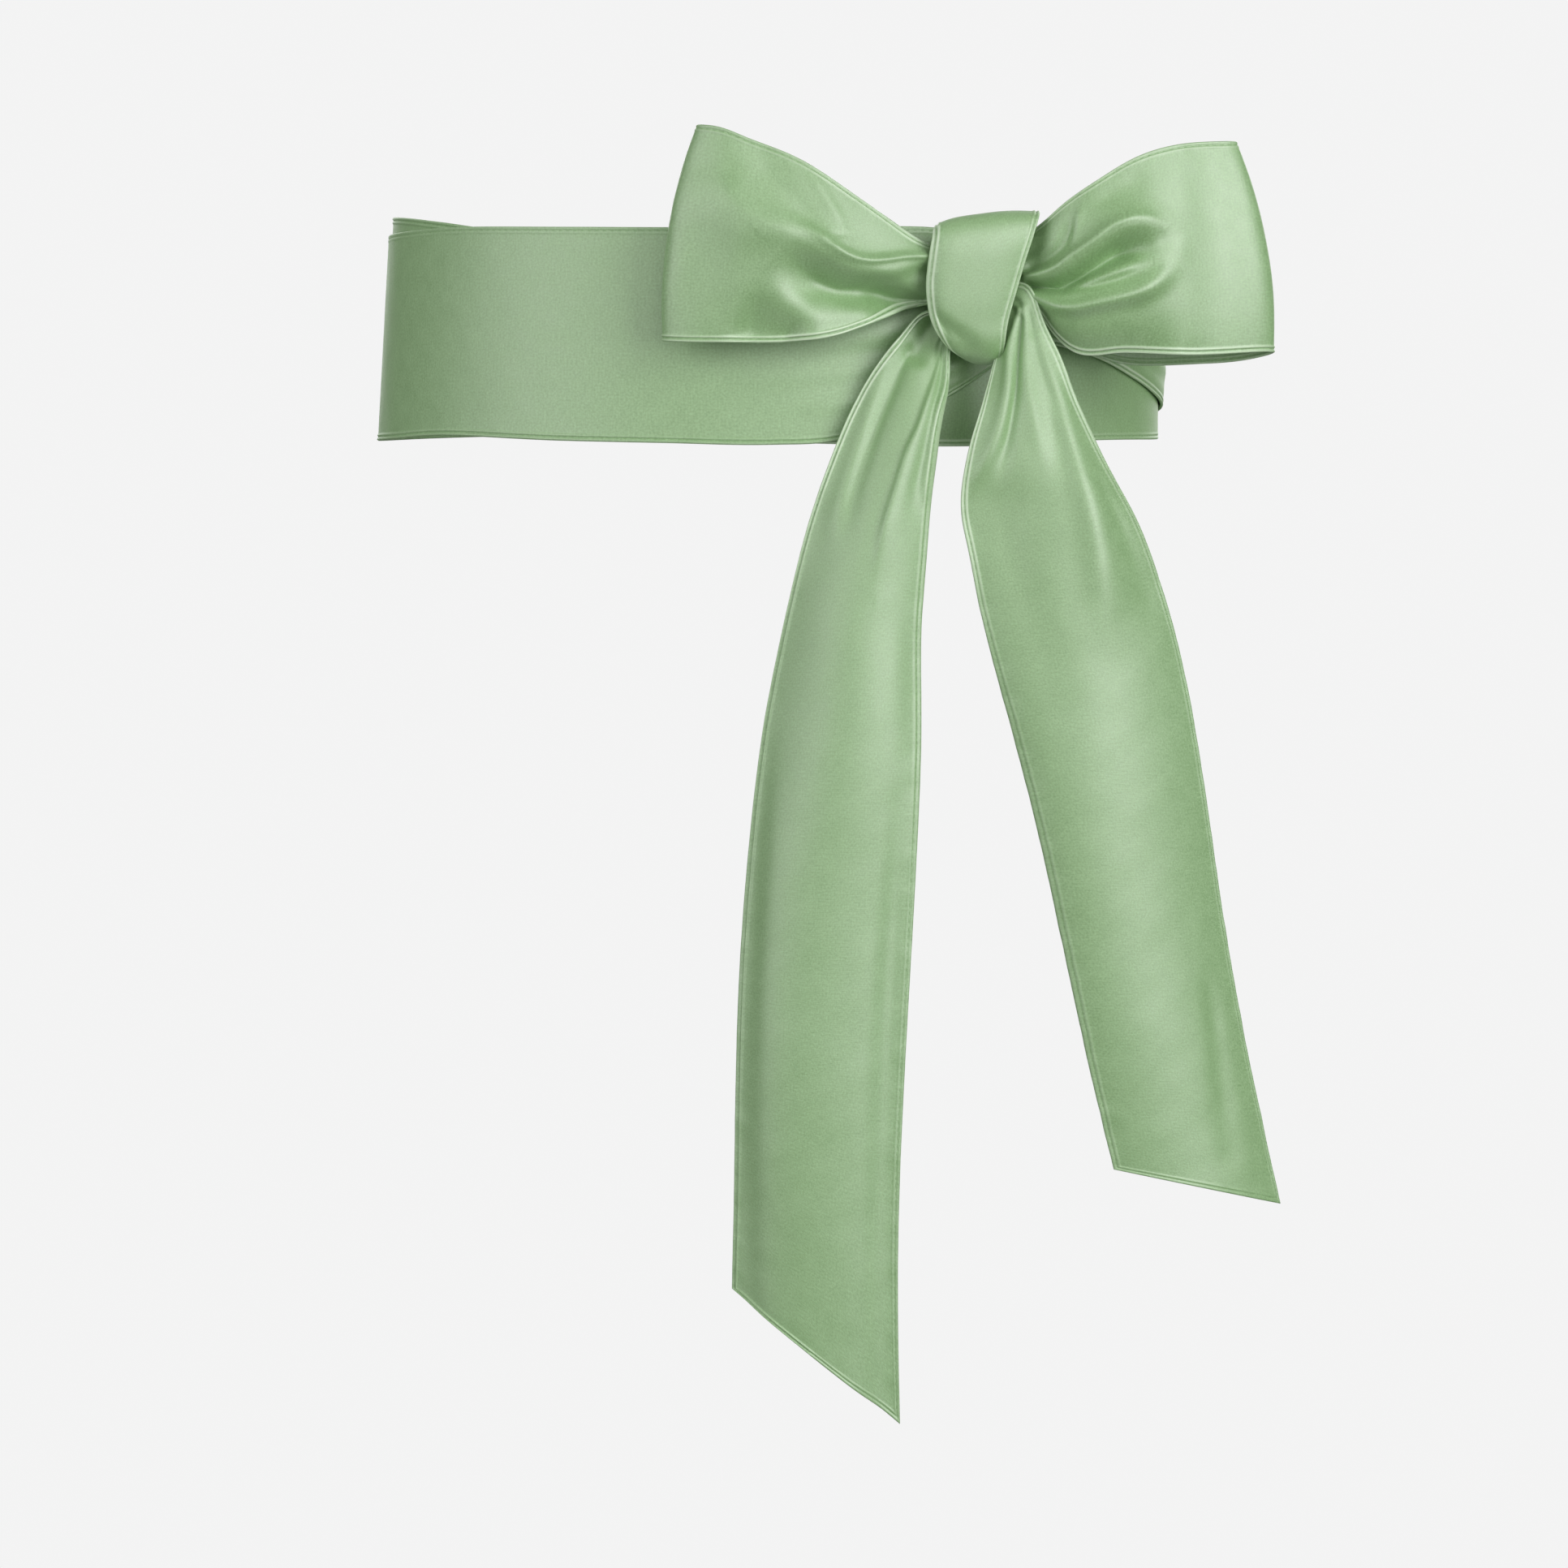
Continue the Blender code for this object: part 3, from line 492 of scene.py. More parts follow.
# The thread and its stitches. A stitch's ends dip into the cloth, and its shoulders are this share
# of the way out to them.
THREAD_COLOUR = (0.270, 0.410, 0.225)
THREAD_ROUGHNESS = 0.55
TWIST_SCALE = 2500.0
STITCH_LENGTH = 1.7
STITCH_PITCH = 2.6
STITCH_RADIUS = 0.10
STITCH_DIP = 0.08
STITCH_SHOULDER = 0.55
STITCH_AHEAD = 0.2

# The studio. Each lamp has its place, its width and height in metres, and its power in watts.
FLOOR_HEIGHT = -1600.0
FLOOR_HALF_SIZE = 700.0
STUDIO_WHITE = (0.93, 0.93, 0.93)
FLOOR_ROUGHNESS = 0.9
LIGHT_BELOW = 0.0
LIGHT_ABOVE = 0.34
BACKGROUND_LEVEL = 0.90
LAMPS = [
    ("left_lamp", (-1.55, -1.10, 0.35), (1.4, 1.6), 14.5),
    ("right_lamp", (1.35, -1.40, 0.42), (1.2, 1.5), 27.0),
    ("front_lamp", (0.20, -2.10, 0.25), (1.2, 1.4), 7.5),
    ("back_left_lamp", (-0.60, 1.95, 0.60), (0.9, 1.4), 14.0),
    ("back_right_lamp", (0.85, 1.85, 0.60), (0.9, 1.4), 16.0),
]
LAMP_AIM = (0.0, -0.1, -0.1)

# The camera. Its lens and sensor are in millimetres, its place and reach in metres.
LENS = 107.0
SENSOR_WIDTH = 36.0
CAMERA_PLACE = (0.0038, -1.6, 0.0)
CAMERA_PITCH = 5.45
CAMERA_REACH = (0.05, 30.0)


def unit(vectors):
    """Scales each vector to a length of one."""
    return vectors / np.linalg.norm(vectors, axis=-1, keepdims=True)


def soft_step(x):
    """Nothing below zero, one above one, and a soft S between them."""
    f = np.clip(x, 0, 1)
    return f * f * (3 - 2 * f)


def even_slopes(stations, values):
    """The slopes that make a cubic through the rows bend evenly, with no bend at its ends."""
    count = len(stations)
    step = np.diff(stations)
    rise = np.diff(values, axis=0) / step[:, None]
    i = np.arange(1, count - 1)
    bends = np.zeros((count, count))
    bends[i, i - 1] = 1 / step[:-1]
    bends[i, i] = 2 / step[:-1] + 2 / step[1:]
    bends[i, i + 1] = 1 / step[1:]
    bends[0, :2] = 2, 1
    bends[-1, -2:] = 1, 2
    right = 3 * rise[:-1] / step[:-1, None] + 3 * rise[1:] / step[1:, None]
    return np.linalg.solve(bends, np.concatenate([3 * rise[:1], right, 3 * rise[-1:]]))


def curve_through(stations, values, at, closed=False, even=False):
    """A cubic through the rows, with the slope at each row taken between its neighbours.

    An even curve takes slopes that leave no jump in its bend, which gloss would show. A closed
    curve's last station is where its first row comes round again.
    """
    if closed:
        lap = stations[-1] - stations[0]
        before, after = slice(-4, -1), slice(1, 4)
        stations = np.concatenate([stations[before] - lap, stations, stations[after] + lap])
        values = np.concatenate([values[before], values, values[after]])
    slopes = even_slopes(stations, values) if even else np.gradient(values, stations, axis=0)
    spot = np.clip(np.searchsorted(stations, at, side="right") - 1, 0, len(stations) - 2)
    span = stations[spot + 1] - stations[spot]
    f = ((at - stations[spot]) / span)[:, None]
    span = span[:, None]
    start = (1 + 2 * f) * (1 - f) ** 2 * values[spot] + f * (1 - f) ** 2 * span * slopes[spot]
    end = f * f * (3 - 2 * f) * values[spot + 1] + f * f * (f - 1) * span * slopes[spot + 1]
    return start + end


def path_stations(points):
    """How far along its own length each point of a path lies."""
    return np.concatenate([[0], np.cumsum(np.linalg.norm(np.diff(points, axis=0), axis=1))])


def unevenness(along, across):
    """Small slow waves from -1 to 1: the sum of sines of the distance along and across the cloth."""
    total = 0
    for length, heading, start, share in zip(*WAVES.values()):
        total = total + share * np.sin(2 * np.pi * (along + heading * across) / length + start)
    return total


def fold_lift(points, rows):
    """How far the folds lift each point, by its distance from each fold's path seen from the front.

    Across the path the lift falls off as height times exp(-(distance / width) to the power crest).
    Along it the height goes from its share at the start to full over the first third, and to its
    share at the end over the last.
    """
    flat = points[..., [0, 2]].reshape(-1, 1, 2)
    pick = np.arange(len(flat))
    lift = np.zeros(len(flat))
    for fold in rows:
        corners = np.array(fold["path"], dtype=float)
        stations = path_stations(corners)
        path = curve_through(stations, corners, np.linspace(0, stations[-1], FOLD_STEPS + 1))
        legs = np.diff(path, axis=0)
        offset = flat - path[:-1]
        along = np.clip((offset * legs).sum(-1) / (legs ** 2).sum(-1), 0, 1)
        distance = np.linalg.norm(offset - along[..., None] * legs, axis=-1)
        nearest = distance.argmin(axis=1)
        distance = distance[pick, nearest]
        share = (nearest + along[pick, nearest]) / len(legs)
        leg, away = legs[nearest], offset[pick, nearest]
        on_left = leg[:, 0] * away[:, 1] > leg[:, 1] * away[:, 0]
        width = fold["near_width"] + share * (fold["far_width"] - fold["near_width"])
        width = width * np.where(on_left, fold["lean"], 2 - fold["lean"])
        bell = np.exp(-(distance / width) ** fold["crest"])
        grown = fold["start"] + (1 - fold["start"]) * soft_step(share * FOLD_ENDS)
        dying = fold["end"] + (1 - fold["end"]) * soft_step((1 - share) * FOLD_ENDS)
        lift += fold["height"] * bell * grown * dying
    return lift.reshape(points.shape[:2])


def facing_lift(points, normals, rows, way):
    """The lift of the folds on the cloth that faces one way along Y, and none on the rest."""
    return soft_step((way * normals[..., 1] - FACING_FROM) / FACING_SPAN) * fold_lift(points, rows)


def columns_across(width, hem_columns, middle_columns):
    """Where each column of points lies, from 0 to 1 across each row, and in the flat ribbon in mm.

    The hem columns share a band that keeps its own width until it is a set share of the row's.
    """
    band = np.minimum(HEM_ZONE / width, HEM_LARGEST_SHARE)[:, None]
    hem = np.linspace(0, 1, hem_columns + 1)[:-1]
    middle = np.linspace(0, 1, middle_columns + 1)
    share = np.concatenate([hem * band, band + middle * (1 - 2 * band), 1 - hem[::-1] * band], axis=1)
    inner = HEM_ZONE + middle * (RIBBON_WIDTH - 2 * HEM_ZONE)
    flat = np.concatenate([hem * HEM_ZONE, inner, RIBBON_WIDTH - hem[::-1] * HEM_ZONE])
    return share, flat


def pleat_lift(pleats, share, from_neck):
    """Waves across the ribbon that are deep at the neck and run out at their reach.

    The phase is count times the share across, pushed to and fro by the unevenness.
    """
    drift = np.sin(2 * np.pi * PLEAT_DRIFT_WAVES * share + PLEAT_DRIFT_START)
    lift = 0
    for count, depth, reach, uneven in zip(*pleats.values()):
        phase = 2 * np.pi * (count * share + uneven * drift)
        lift = lift + depth * (1 - soft_step(from_neck / reach)) * np.cos(phase)
    return lift


def edge_inset(flat):
    """How far in from the nearer long edge each column lies."""
    return np.minimum(flat, RIBBON_WIDTH - flat)


def hem_lift(along, flat):
    """The hems' own waves, whole at the edge and none past their reach."""
    near_edge = 1 - soft_step(edge_inset(flat) / HEM_WAVE_REACH)
    return HEM_WAVE * near_edge * unevenness(along * HEM_WAVE_RATE, flat * 0 + HEM_WAVE_START)


class Sheet:
    """A stretch of cloth: its middle surface, the way out of it, and its flat coordinates in mm."""

    def __init__(self, points, normals, along, flat, hem_fullness, closed=False, end_hem=False):
        self.points = points
        self.normals = normals
        self.along = along
        self.flat = flat
        self.closed = closed
        self.end_hem = end_hem
        self.fullness = np.where(flat < RIBBON_WIDTH / 2, *hem_fullness)

    def inset(self):
        """How far each point lies in from the nearest hemmed edge."""
        inset = edge_inset(self.flat)[None, :] + 0 * self.along
        if self.end_hem:
            inset = np.minimum(inset, self.along[-1:] - self.along)
        return inset


def grid_normals(points, closed):
    """The surface's own normals, from the steps between neighbouring points."""
    if closed:
        wrapped = np.concatenate([points[-1:], points, points[:1]])
        along = np.gradient(wrapped, axis=0)[1:-1]
    else:
        along = np.gradient(points, axis=0)
    return unit(np.cross(along, np.gradient(points, axis=1)))


def ribbon(name, sections, outward=1, necks=1, closed=False, pleats=None, front=(), back=(),
           crown_power=2):
    """A stretch of ribbon through its sections, as a sheet.

    Each section is a straight line between its two edges. The sheet is that ruled surface, moved
    out along its own normal by the crown, the pleats at the necks, the folds on the side that
    faces the front, those on the side that faces the back, and the cloth's small waves. A row's
    crown is its height times 1 - |2 t - 1| to the crown's power, with the share across, t, bent
    so that the middle falls on the crown's peak.
    """
    hem_columns, middle_columns, rows = GRID[name]
    edges = np.stack([sections[column] for column in SECTION_COLUMNS.split()], axis=1)
    if closed:
        edges = np.concatenate([edges, edges[:1]])
    stations = path_stations((edges[:, 0:3] + edges[:, 3:6]) / 2)
    length = stations[-1]
    stations = stations / length
    s = np.linspace(0, 1, rows + 1)
    end_hem = necks == 1 and not closed
    if end_hem:
        last = HEM_ZONE / length
        s = np.concatenate([s[s < 1 - last], np.linspace(1 - last, 1, hem_columns + 1)])
    row = curve_through(stations, edges, s, closed, even=True)
    low_edge, high_edge, crown, peak, sag = np.split(row, [3, 6, 7, 8], axis=1)
    width = np.linalg.norm(high_edge - low_edge, axis=1)
    t, flat = columns_across(width, hem_columns, middle_columns)
    points = low_edge[:, None] * (1 - t[..., None]) + high_edge[:, None] * t[..., None]
    if closed:
        points, t, s, width, crown, peak, sag = (x[:-1] for x in (points, t, s, width, crown, peak, sag))
    normals = outward * grid_normals(points, closed)
    crowned = t ** (np.log(0.5) / np.log(peak))
    lift = crown * (1 - np.abs(2 * crowned - 1) ** crown_power)
    points[..., 2] -= sag * 4 * t * (1 - t)
    if pleats:
        from_neck = np.minimum(s, 1 - s) if necks == 2 else s
        lift = lift + pleat_lift(pleats, t, from_neck[:, None])
    lift = lift + facing_lift(points, normals, front, -1)
    lift = lift + facing_lift(points, normals, back, 1)
    along = s[:, None] * length + 0 * t
    open_cloth = soft_step((width[:, None] / RIBBON_WIDTH - OPEN_FROM) / OPEN_SPAN)
    lift = lift + CLOTH_WAVE * open_cloth * unevenness(along, flat)
    lift = lift + hem_lift(along, flat)
    points = points + normals * lift[..., None]
    normals = outward * grid_normals(points, closed)
    return Sheet(points, normals, along, flat, HEM_FULLNESS[name], closed, end_hem)


def waist_points(angle, height, stand_off):
    """Points round the waist, an ellipse that leans out towards the hip at the wearer's right."""
    lean = -WAIST_LEAN * height * (1 - np.sin(angle)) / 2
    x = (WAIST_HALF_WIDTH + stand_off + lean) * np.sin(angle)
    y = -(WAIST_HALF_DEPTH + stand_off + lean) * np.cos(angle)
    return np.stack([x, y, height], axis=-1)


def ways_out(points, closed):
    """The surface's normals, all turned away from the waist's middle."""
    normals = grid_normals(points, closed)
    return normals * np.sign((normals * points * (1, 1, 0)).sum(-1).mean())


def turn(name, sections, stand_off, closed=False, front=()):
    """A turn round the waist between its two edges, as a sheet.

    Its gathers are waves across it, broad ones and, at a share of their height, finer ones that
    lie less evenly. A turn that lies on another also has half of the cloth's small waves.
    """
    hem_columns, middle_columns, rows = GRID[name]
    edges = np.stack([sections[column] for column in TURN_COLUMNS.split()], axis=1)
    at = np.linspace(edges[0, 0], edges[-1, 0], rows + 1)
    row = curve_through(edges[:, 0], edges, at, closed)
    t, flat = columns_across(row[:, 2] * RIBBON_WIDTH, hem_columns, middle_columns)
    if closed:
        t, row, at = t[:-1], row[:-1], at[:-1]
    angle = np.radians(at)[:, None] + 0 * t
    along = (WAIST_HALF_WIDTH + WAIST_HALF_DEPTH) / 2 * (angle - angle[0, 0])
    low, spread, gather = row[:, 1:2], row[:, 2:3], np.clip(row[:, 3:4], 0, None)
    broad = (1 - np.cos(2 * np.pi * GATHERS * t)) / 2
    drift = FINE_GATHER_DRIFT * np.sin(FINE_GATHER_DRIFT_RATE * t)
    fine = (1 - np.cos(2 * np.pi * (FINE_GATHERS * t + drift))) / 2
    stand = stand_off + gather * (broad + FINE_GATHER_SHARE * fine)
    points = waist_points(angle, low + spread * RIBBON_WIDTH * t, stand)
    normals = ways_out(points, closed)
    lift = facing_lift(points, normals, front, -1)
    if stand_off > SOLID_WALL:
        lift = lift + TURN_WAVE_SHARE * CLOTH_WAVE * unevenness(along, flat)
    points = points + normals * lift[..., None]
    return Sheet(points, ways_out(points, closed), along, flat, HEM_FULLNESS[name], closed)


def signed_volume(points, faces):
    """The volume that four-cornered faces enclose, positive where they face outwards."""
    a, b, c, d = (points[faces[:, i]] for i in range(4))
    return ((np.cross(a, b) * c).sum() + (np.cross(a, c) * d).sum()) / 6


def shell_faces(front, step, closed):
    """Four-cornered faces over a front grid of numbers, the back grid a step later, and the rims."""
    quads = np.stack([front[:-1, :-1], front[1:, :-1], front[1:, 1:], front[:-1, 1:]], axis=-1)
    quads = quads.reshape(-1, 4)
    edges = [front[:, 0], front[::-1, -1]]
    if not closed:
        edges += [front[-1, :], front[0, ::-1]]
    rims = [np.stack([e[1:], e[:-1], e[:-1] + step, e[1:] + step], axis=-1) for e in edges]
    return np.concatenate([quads, quads[:, ::-1] + step, *rims])


def shell(sheet):
    """The sheet with its thickness: points, four-cornered faces and each face corner's map place.

    The half thickness at each point follows the hem's profile by its distance from the edge. The
    front and back are the middle surface moved by it each way, and a rim joins them.
    """
    hem = np.interp(sheet.inset(), HEM_PROFILE["inset"], HEM_PROFILE["half"]) - CLOTH_HALF
    half = CLOTH_HALF + sheet.fullness * np.clip(hem, 0, None) + np.clip(hem, None, 0)
    move = sheet.normals * half[..., None]
    points = np.concatenate([sheet.points + move, sheet.points - move]).reshape(-1, 3)
    along = sheet.along
    index = np.arange(along.size).reshape(along.shape)
    if sheet.closed:
        index = np.concatenate([index, index[:1]])
        along = np.concatenate([along, 2 * along[-1:] - along[-2:-1]])
    places = np.stack([along, sheet.flat[None, :] + 0 * along], axis=-1).reshape(-1, 2)
    faces = shell_faces(index, sheet.along.size, sheet.closed)
    corners = shell_faces(np.arange(index.size).reshape(index.shape), 0, sheet.closed)
    if signed_volume(points, faces) < 0:
        faces, corners = faces[:, ::-1], corners[:, ::-1]
    return points, faces, places[corners].reshape(-1, 2)


def new_piece(name, points, faces, material, places=None):
    """Makes an object from points in millimetres, and its map in metres where it has places."""
    mesh = bpy.data.meshes.new(name)
    mesh.from_pydata((points * MM).tolist(), [], faces)
    mesh.shade_smooth()
    if places is not None:
        layer = mesh.uv_layers.new(name="ribbon")
        layer.data.foreach_set("uv", (places * MM).ravel())
    mesh.materials.append(material)
    piece = bpy.data.objects.new(name, mesh)
    bpy.context.scene.collection.objects.link(piece)
    return piece


def seam_paths(sheet):
    """The rows of stitches: points on both faces of the cloth, along each hem's inner side."""
    half = np.interp(STITCH_INSET, HEM_PROFILE["inset"], HEM_PROFILE["half"])
    for edge_place in (STITCH_INSET, RIBBON_WIDTH - STITCH_INSET):
        column = np.abs(sheet.flat - edge_place).argmin()
        for side in (1, -1):
            way = side * sheet.normals[:, column]
            yield sheet.points[:, column] + way * half, way


def stitches(name, sheet, material):
    """All the stitches of a stretch as one mesh.

    Each is a small spindle that lies along the seam: two ends and two rings of four points. Its
    middle is raised a little, so that it arches out of the cloth.
    """
    ring = np.array([(0, 1), (1, 0), (0, -1), (-1, 0)]) * STITCH_RADIUS
    reach = STITCH_LENGTH / 2
    shoulder = np.full((4, 1), reach * STITCH_SHOULDER)
    outline = np.concatenate([[(-reach, 0, -STITCH_DIP)], np.hstack([-shoulder, ring]),
                              np.hstack([shoulder, ring]), [(reach, 0, -STITCH_DIP)]])
    k = np.arange(4)
    n = (k + 1) % 4
    start = np.stack([0 * k, 1 + n, 1 + k], axis=-1)
    middle = np.stack([1 + k, 1 + n, 5 + n, 5 + k], axis=-1)
    end = np.stack([9 + 0 * k, 5 + k, 5 + n], axis=-1)
    points = []
    for path, way in seam_paths(sheet):
        stations = path_stations(path)
        at = np.arange(STITCH_PITCH, stations[-1] - STITCH_PITCH, STITCH_PITCH)
        place = curve_through(stations, path, at)
        ahead = unit(curve_through(stations, path, at + STITCH_AHEAD) - place)
        up = unit(curve_through(stations, way, at))
        aside = unit(np.cross(up, ahead))
        up = np.cross(ahead, aside)
        frames = np.stack([ahead, aside, up], axis=1)
        points.append((place[:, None] + outline @ frames).reshape(-1, 3))
    points = np.concatenate(points)
    first = np.arange(0, len(points), len(outline))[:, None, None]
    faces = []
    for part in (start, middle, end):
        faces += (part + first).reshape(-1, part.shape[1]).tolist()
    return new_piece(name, points, faces, material)


class Value:
    """A node's output. Python's operators on it add the Math nodes that work them out."""

    def __init__(self, shader, output):
        self.shader = shader
        self.output = output

    def worked(self, operation, *values):
        return self.shader.node("ShaderNodeMath", {"operation": operation}, dict(enumerate(values)))

    def __add__(self, other):
        return self.worked("ADD", self, other)

    def __sub__(self, other):
        return self.worked("SUBTRACT", self, other)

    def __rsub__(self, other):
        return self.worked("SUBTRACT", other, self)

    def __mul__(self, other):
        return self.worked("MULTIPLY", self, other)

    __radd__ = __add__

    def sine(self):
        return self.worked("SINE", self)

    def lesser(self, other):
        return self.worked("MINIMUM", self, other)


class Shader:
    """The nodes of a material or of the world, with the one that takes what the others give."""

    def __init__(self, owner, taker):
        owner.use_nodes = True
        self.tree = owner.node_tree
        self.taker = self.tree.nodes[taker]

    def node(self, kind, settings, values, output=0):
        """Adds a node with its settings, then the values or links of its sockets."""
        node = self.tree.nodes.new(kind)
        for name, setting in settings.items():
            setattr(node, name, setting)
        for key, value in values.items():
            self.feed(node.inputs[key], value)
        return Value(self, node.outputs[output])

    def feed(self, socket, value):
        """Sets a socket's value, or links it where the value is another node's output."""
        if isinstance(value, Value):
            self.tree.links.new(value.output, socket)
        else:
            socket.default_value = value

    def set(self, **values):
        """Feeds the taker's sockets, named with underscores for spaces."""
        for name, value in values.items():
            self.feed(self.taker.inputs[name.replace("_", " ").title().replace("Ior", "IOR")], value)

    def noise(self, place, scale, detail):
        """Soft noise from 0 to 1."""
        return self.node("ShaderNodeTexNoise", {}, {"Vector": place, "Scale": scale, "Detail": detail})

    def ramp(self, value, ends, levels):
        """Goes from the first level to the second as the value goes from one end to the other."""
        return self.node("ShaderNodeMapRange", {}, {
            "Value": value, "From Min": ends[0], "From Max": ends[1],
            "To Min": levels[0], "To Max": levels[1]})

    def blend(self, share, first, second):
        """Goes from the first colour to the second as the share goes from 0 to 1."""
        return self.node("ShaderNodeMix", {"data_type": "RGBA"},
                         {"Factor": share, "A": first, "B": second}, "Result")


def mix_of(patterns, shares):
    """The patterns added up, each times its share."""
    first, *others = [patterns[name] * share for name, share in shares.items()]
    for other in others:
        first = first + other
    return first


def satin(name):
    """Satin: long warp threads crossed by fine weft, with faint slubs and a soft uneven gloss.

    All patterns follow the ribbon's own map, in metres along and across it. The hems' crests carry a
    painted highlight near the knot, a pale colour mixed in by half of 1 + sine of the distance in
    from the edge, out to the hem's end.
    """
    material = bpy.data.materials.new(name)
    shader = Shader(material, "Principled BSDF")
    place = shader.node("ShaderNodeUVMap", {"uv_map": "ribbon"}, {})
    along = shader.node("ShaderNodeSeparateXYZ", {}, {0: place}, "X")
    across = shader.node("ShaderNodeSeparateXYZ", {}, {0: place}, "Y")
    stretched = shader.node("ShaderNodeMapping", {"vector_type": "POINT"},
                            {"Vector": place, "Scale": (1 / (SLUB_WIDTH * MM), 1 / (SLUB_LENGTH * MM), 1)})
    patterns = {
        "warp": (across * (2 * np.pi / (WARP_PITCH * MM))).sine(),
        "weft": (along * (2 * np.pi / (WEFT_PITCH * MM))).sine(),
        "slubs": shader.noise(stretched, 1.0, 3.0),
        "mottle": shader.noise(place, MOTTLE_SCALE, 4.0),
        "grain": shader.noise(place, GRAIN_SCALE, 2.0),
    }
    relief = shader.node("ShaderNodeBump", {}, {
        "Strength": WEAVE_STRENGTH, "Distance": WEAVE_HEIGHT * MM, "Height": mix_of(patterns, RELIEF_SHARES)})
    tint = shader.blend(mix_of(patterns, TINT_SHARES) - TINT_START, (*SATIN_COLOUR, 1), (*SATIN_PALE, 1))

    # Painted highlight: the hems' crests are mixed towards a pale colour, strongest near the knot and at the
    # ribbon's first edge.
    inset = across.lesser(RIBBON_WIDTH * MM - across)
    crest = ((inset - CREST_START * MM) * (2 * np.pi / (CREST_PITCH * MM))).sine() * 0.5 + 0.5
    crest = crest * shader.ramp(inset, np.array(CREST_STOP) * MM, (1.0, 0.0))
    crest = crest * shader.ramp(across, np.array(CREST_EDGES) * MM, CREST_EDGE_LEVELS)
    crest = crest * shader.ramp(along, np.array(CREST_FADE) * MM, CREST_FADE_LEVELS)

    gloss = (mix_of(patterns, GLOSS_SHARES) - GLOSS_START) * ROUGHNESS_CHANGE
    shader.set(base_color=shader.blend(crest, tint, (*HEM_HIGHLIGHT_COLOUR, 1)), roughness=SATIN_ROUGHNESS + gloss,
               ior=SATIN_IOR, normal=relief)
    return material


def thread(name):
    """Sewing thread: matt, with the twist as fine bands."""
    material = bpy.data.materials.new(name)
    shader = Shader(material, "Principled BSDF")
    place = shader.node("ShaderNodeTexCoord", {}, {}, "Object")
    twist = shader.noise(place, TWIST_SCALE, 2.0)
    shader.set(base_color=shader.blend(twist, (*THREAD_COLOUR, 1), (*SATIN_COLOUR, 1)),
               roughness=THREAD_ROUGHNESS)
    return material


def sash_sheets():
    """Every stretch of the sash by its node's name."""
    inner_stand = SOLID_WALL / 2
    outer_stand = inner_stand + SOLID_WALL + SEAT
    return {
        "inner_turn": turn("inner_turn", INNER_TURN, inner_stand, closed=True),
        "outer_turn": turn("outer_turn", OUTER_TURN, outer_stand, front=OUTER_TURN_FOLDS),
        "left_loop": ribbon("left_loop", LEFT_LOOP, -1, 2, pleats=LOOP_PLEATS,
                            front=LEFT_LOOP_FOLDS, back=LEFT_LOOP_BACK_FOLDS),
        "right_loop": ribbon("right_loop", RIGHT_LOOP, 1, 2, pleats=LOOP_PLEATS,
                             front=RIGHT_LOOP_FOLDS, back=RIGHT_LOOP_BACK_FOLDS),
        "knot_wrap": ribbon("knot_wrap", KNOT_WRAP, closed=True, front=KNOT_FOLDS, crown_power=3),
        "left_tail": ribbon("left_tail", LEFT_TAIL, pleats=LEFT_TAIL_PLEATS, front=LEFT_TAIL_FOLDS),
        "right_tail": ribbon("right_tail", RIGHT_TAIL, pleats=RIGHT_TAIL_PLEATS, front=RIGHT_TAIL_FOLDS),
    }


def build_sash():
    """Makes every stretch with its stitches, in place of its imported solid."""
    cloth, yarn = satin("sage_satin"), thread("sage_thread")
    for name, sheet in sash_sheets().items():
        points, faces, places = shell(sheet)
        piece = new_piece(name + "_cloth", points, faces.tolist(), cloth, places)
        seam = stitches(name + "_stitches", sheet, yarn)
        for each in (piece, seam):
            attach(each, "root")
        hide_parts(name)


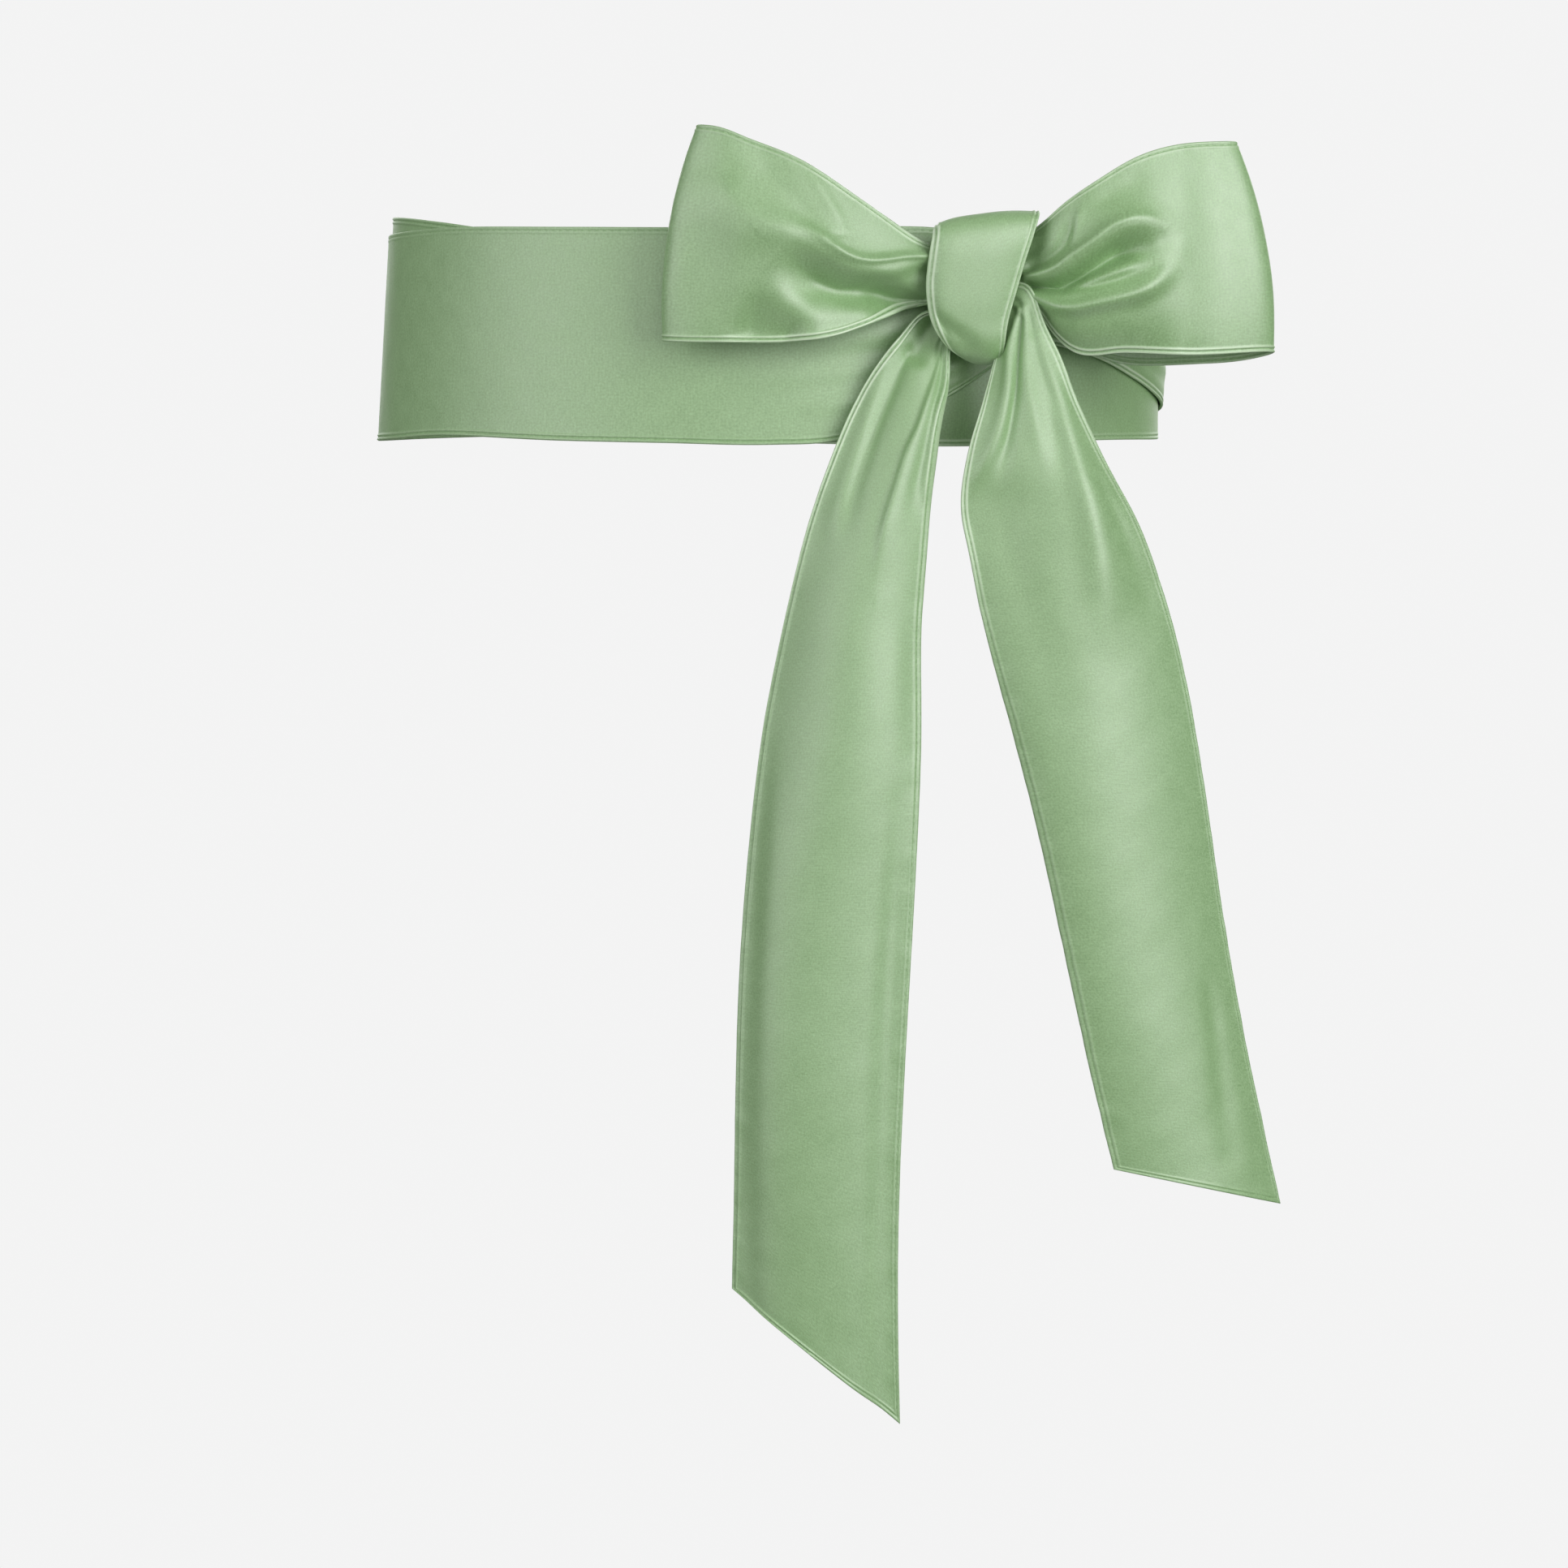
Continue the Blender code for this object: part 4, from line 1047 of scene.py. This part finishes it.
def build_floor():
    """A pale matt floor, well below the sash."""
    material = bpy.data.materials.new("studio_floor")
    Shader(material, "Principled BSDF").set(base_color=(*STUDIO_WHITE, 1), roughness=FLOOR_ROUGHNESS)
    corners = np.array([(-1, -1), (1, -1), (1, 1), (-1, 1)]) * FLOOR_HALF_SIZE
    points = np.column_stack([corners, np.full(len(corners), FLOOR_HEIGHT)])
    floor = new_piece("floor", points, [[0, 1, 2, 3]], material)


def build_world():
    """A room that is white to the camera and lights the sash softly, more from above than below."""
    world = bpy.data.worlds.new("studio")
    shader = Shader(world, "Background")
    way = shader.node("ShaderNodeTexCoord", {}, {}, "Generated")
    height = shader.node("ShaderNodeSeparateXYZ", {}, {0: way}, "Z")
    light = shader.ramp(height, (-1.0, 1.0), (LIGHT_BELOW, LIGHT_ABOVE))
    seen = shader.node("ShaderNodeLightPath", {}, {}, "Is Camera Ray")
    shader.set(color=(1, 1, 1, 1), strength=shader.ramp(seen, (0.0, 1.0), (light, BACKGROUND_LEVEL)))
    bpy.context.scene.world = world


def build_lamps():
    """Three large soft lamps in front and two behind, all aimed at one point of the sash."""
    for name, place, size, power in LAMPS:
        light = bpy.data.lights.new(name, "AREA")
        light.shape = "RECTANGLE"
        light.size, light.size_y = size
        light.energy = power
        lamp = bpy.data.objects.new(name, light)
        lamp.location = place
        aim = np.array(LAMP_AIM) - np.array(place)
        lamp.rotation_euler = (np.arccos(-aim[2] / np.linalg.norm(aim)), 0, np.arctan2(-aim[0], aim[1]))
        bpy.context.scene.collection.objects.link(lamp)


def build_camera():
    """The photograph's view: a long lens from the front, a little above the sash's middle."""
    lens = bpy.data.cameras.new("camera")
    lens.lens = LENS
    lens.sensor_width = SENSOR_WIDTH
    lens.clip_start, lens.clip_end = CAMERA_REACH
    camera = bpy.data.objects.new("camera", lens)
    camera.location = CAMERA_PLACE
    camera.rotation_euler = (np.radians(90 - CAMERA_PITCH), 0, 0)
    bpy.context.scene.collection.objects.link(camera)
    bpy.context.scene.camera = camera


build_sash()
build_floor()
build_world()
build_lamps()
build_camera()
bpy.context.scene.view_settings.view_transform = "Standard"
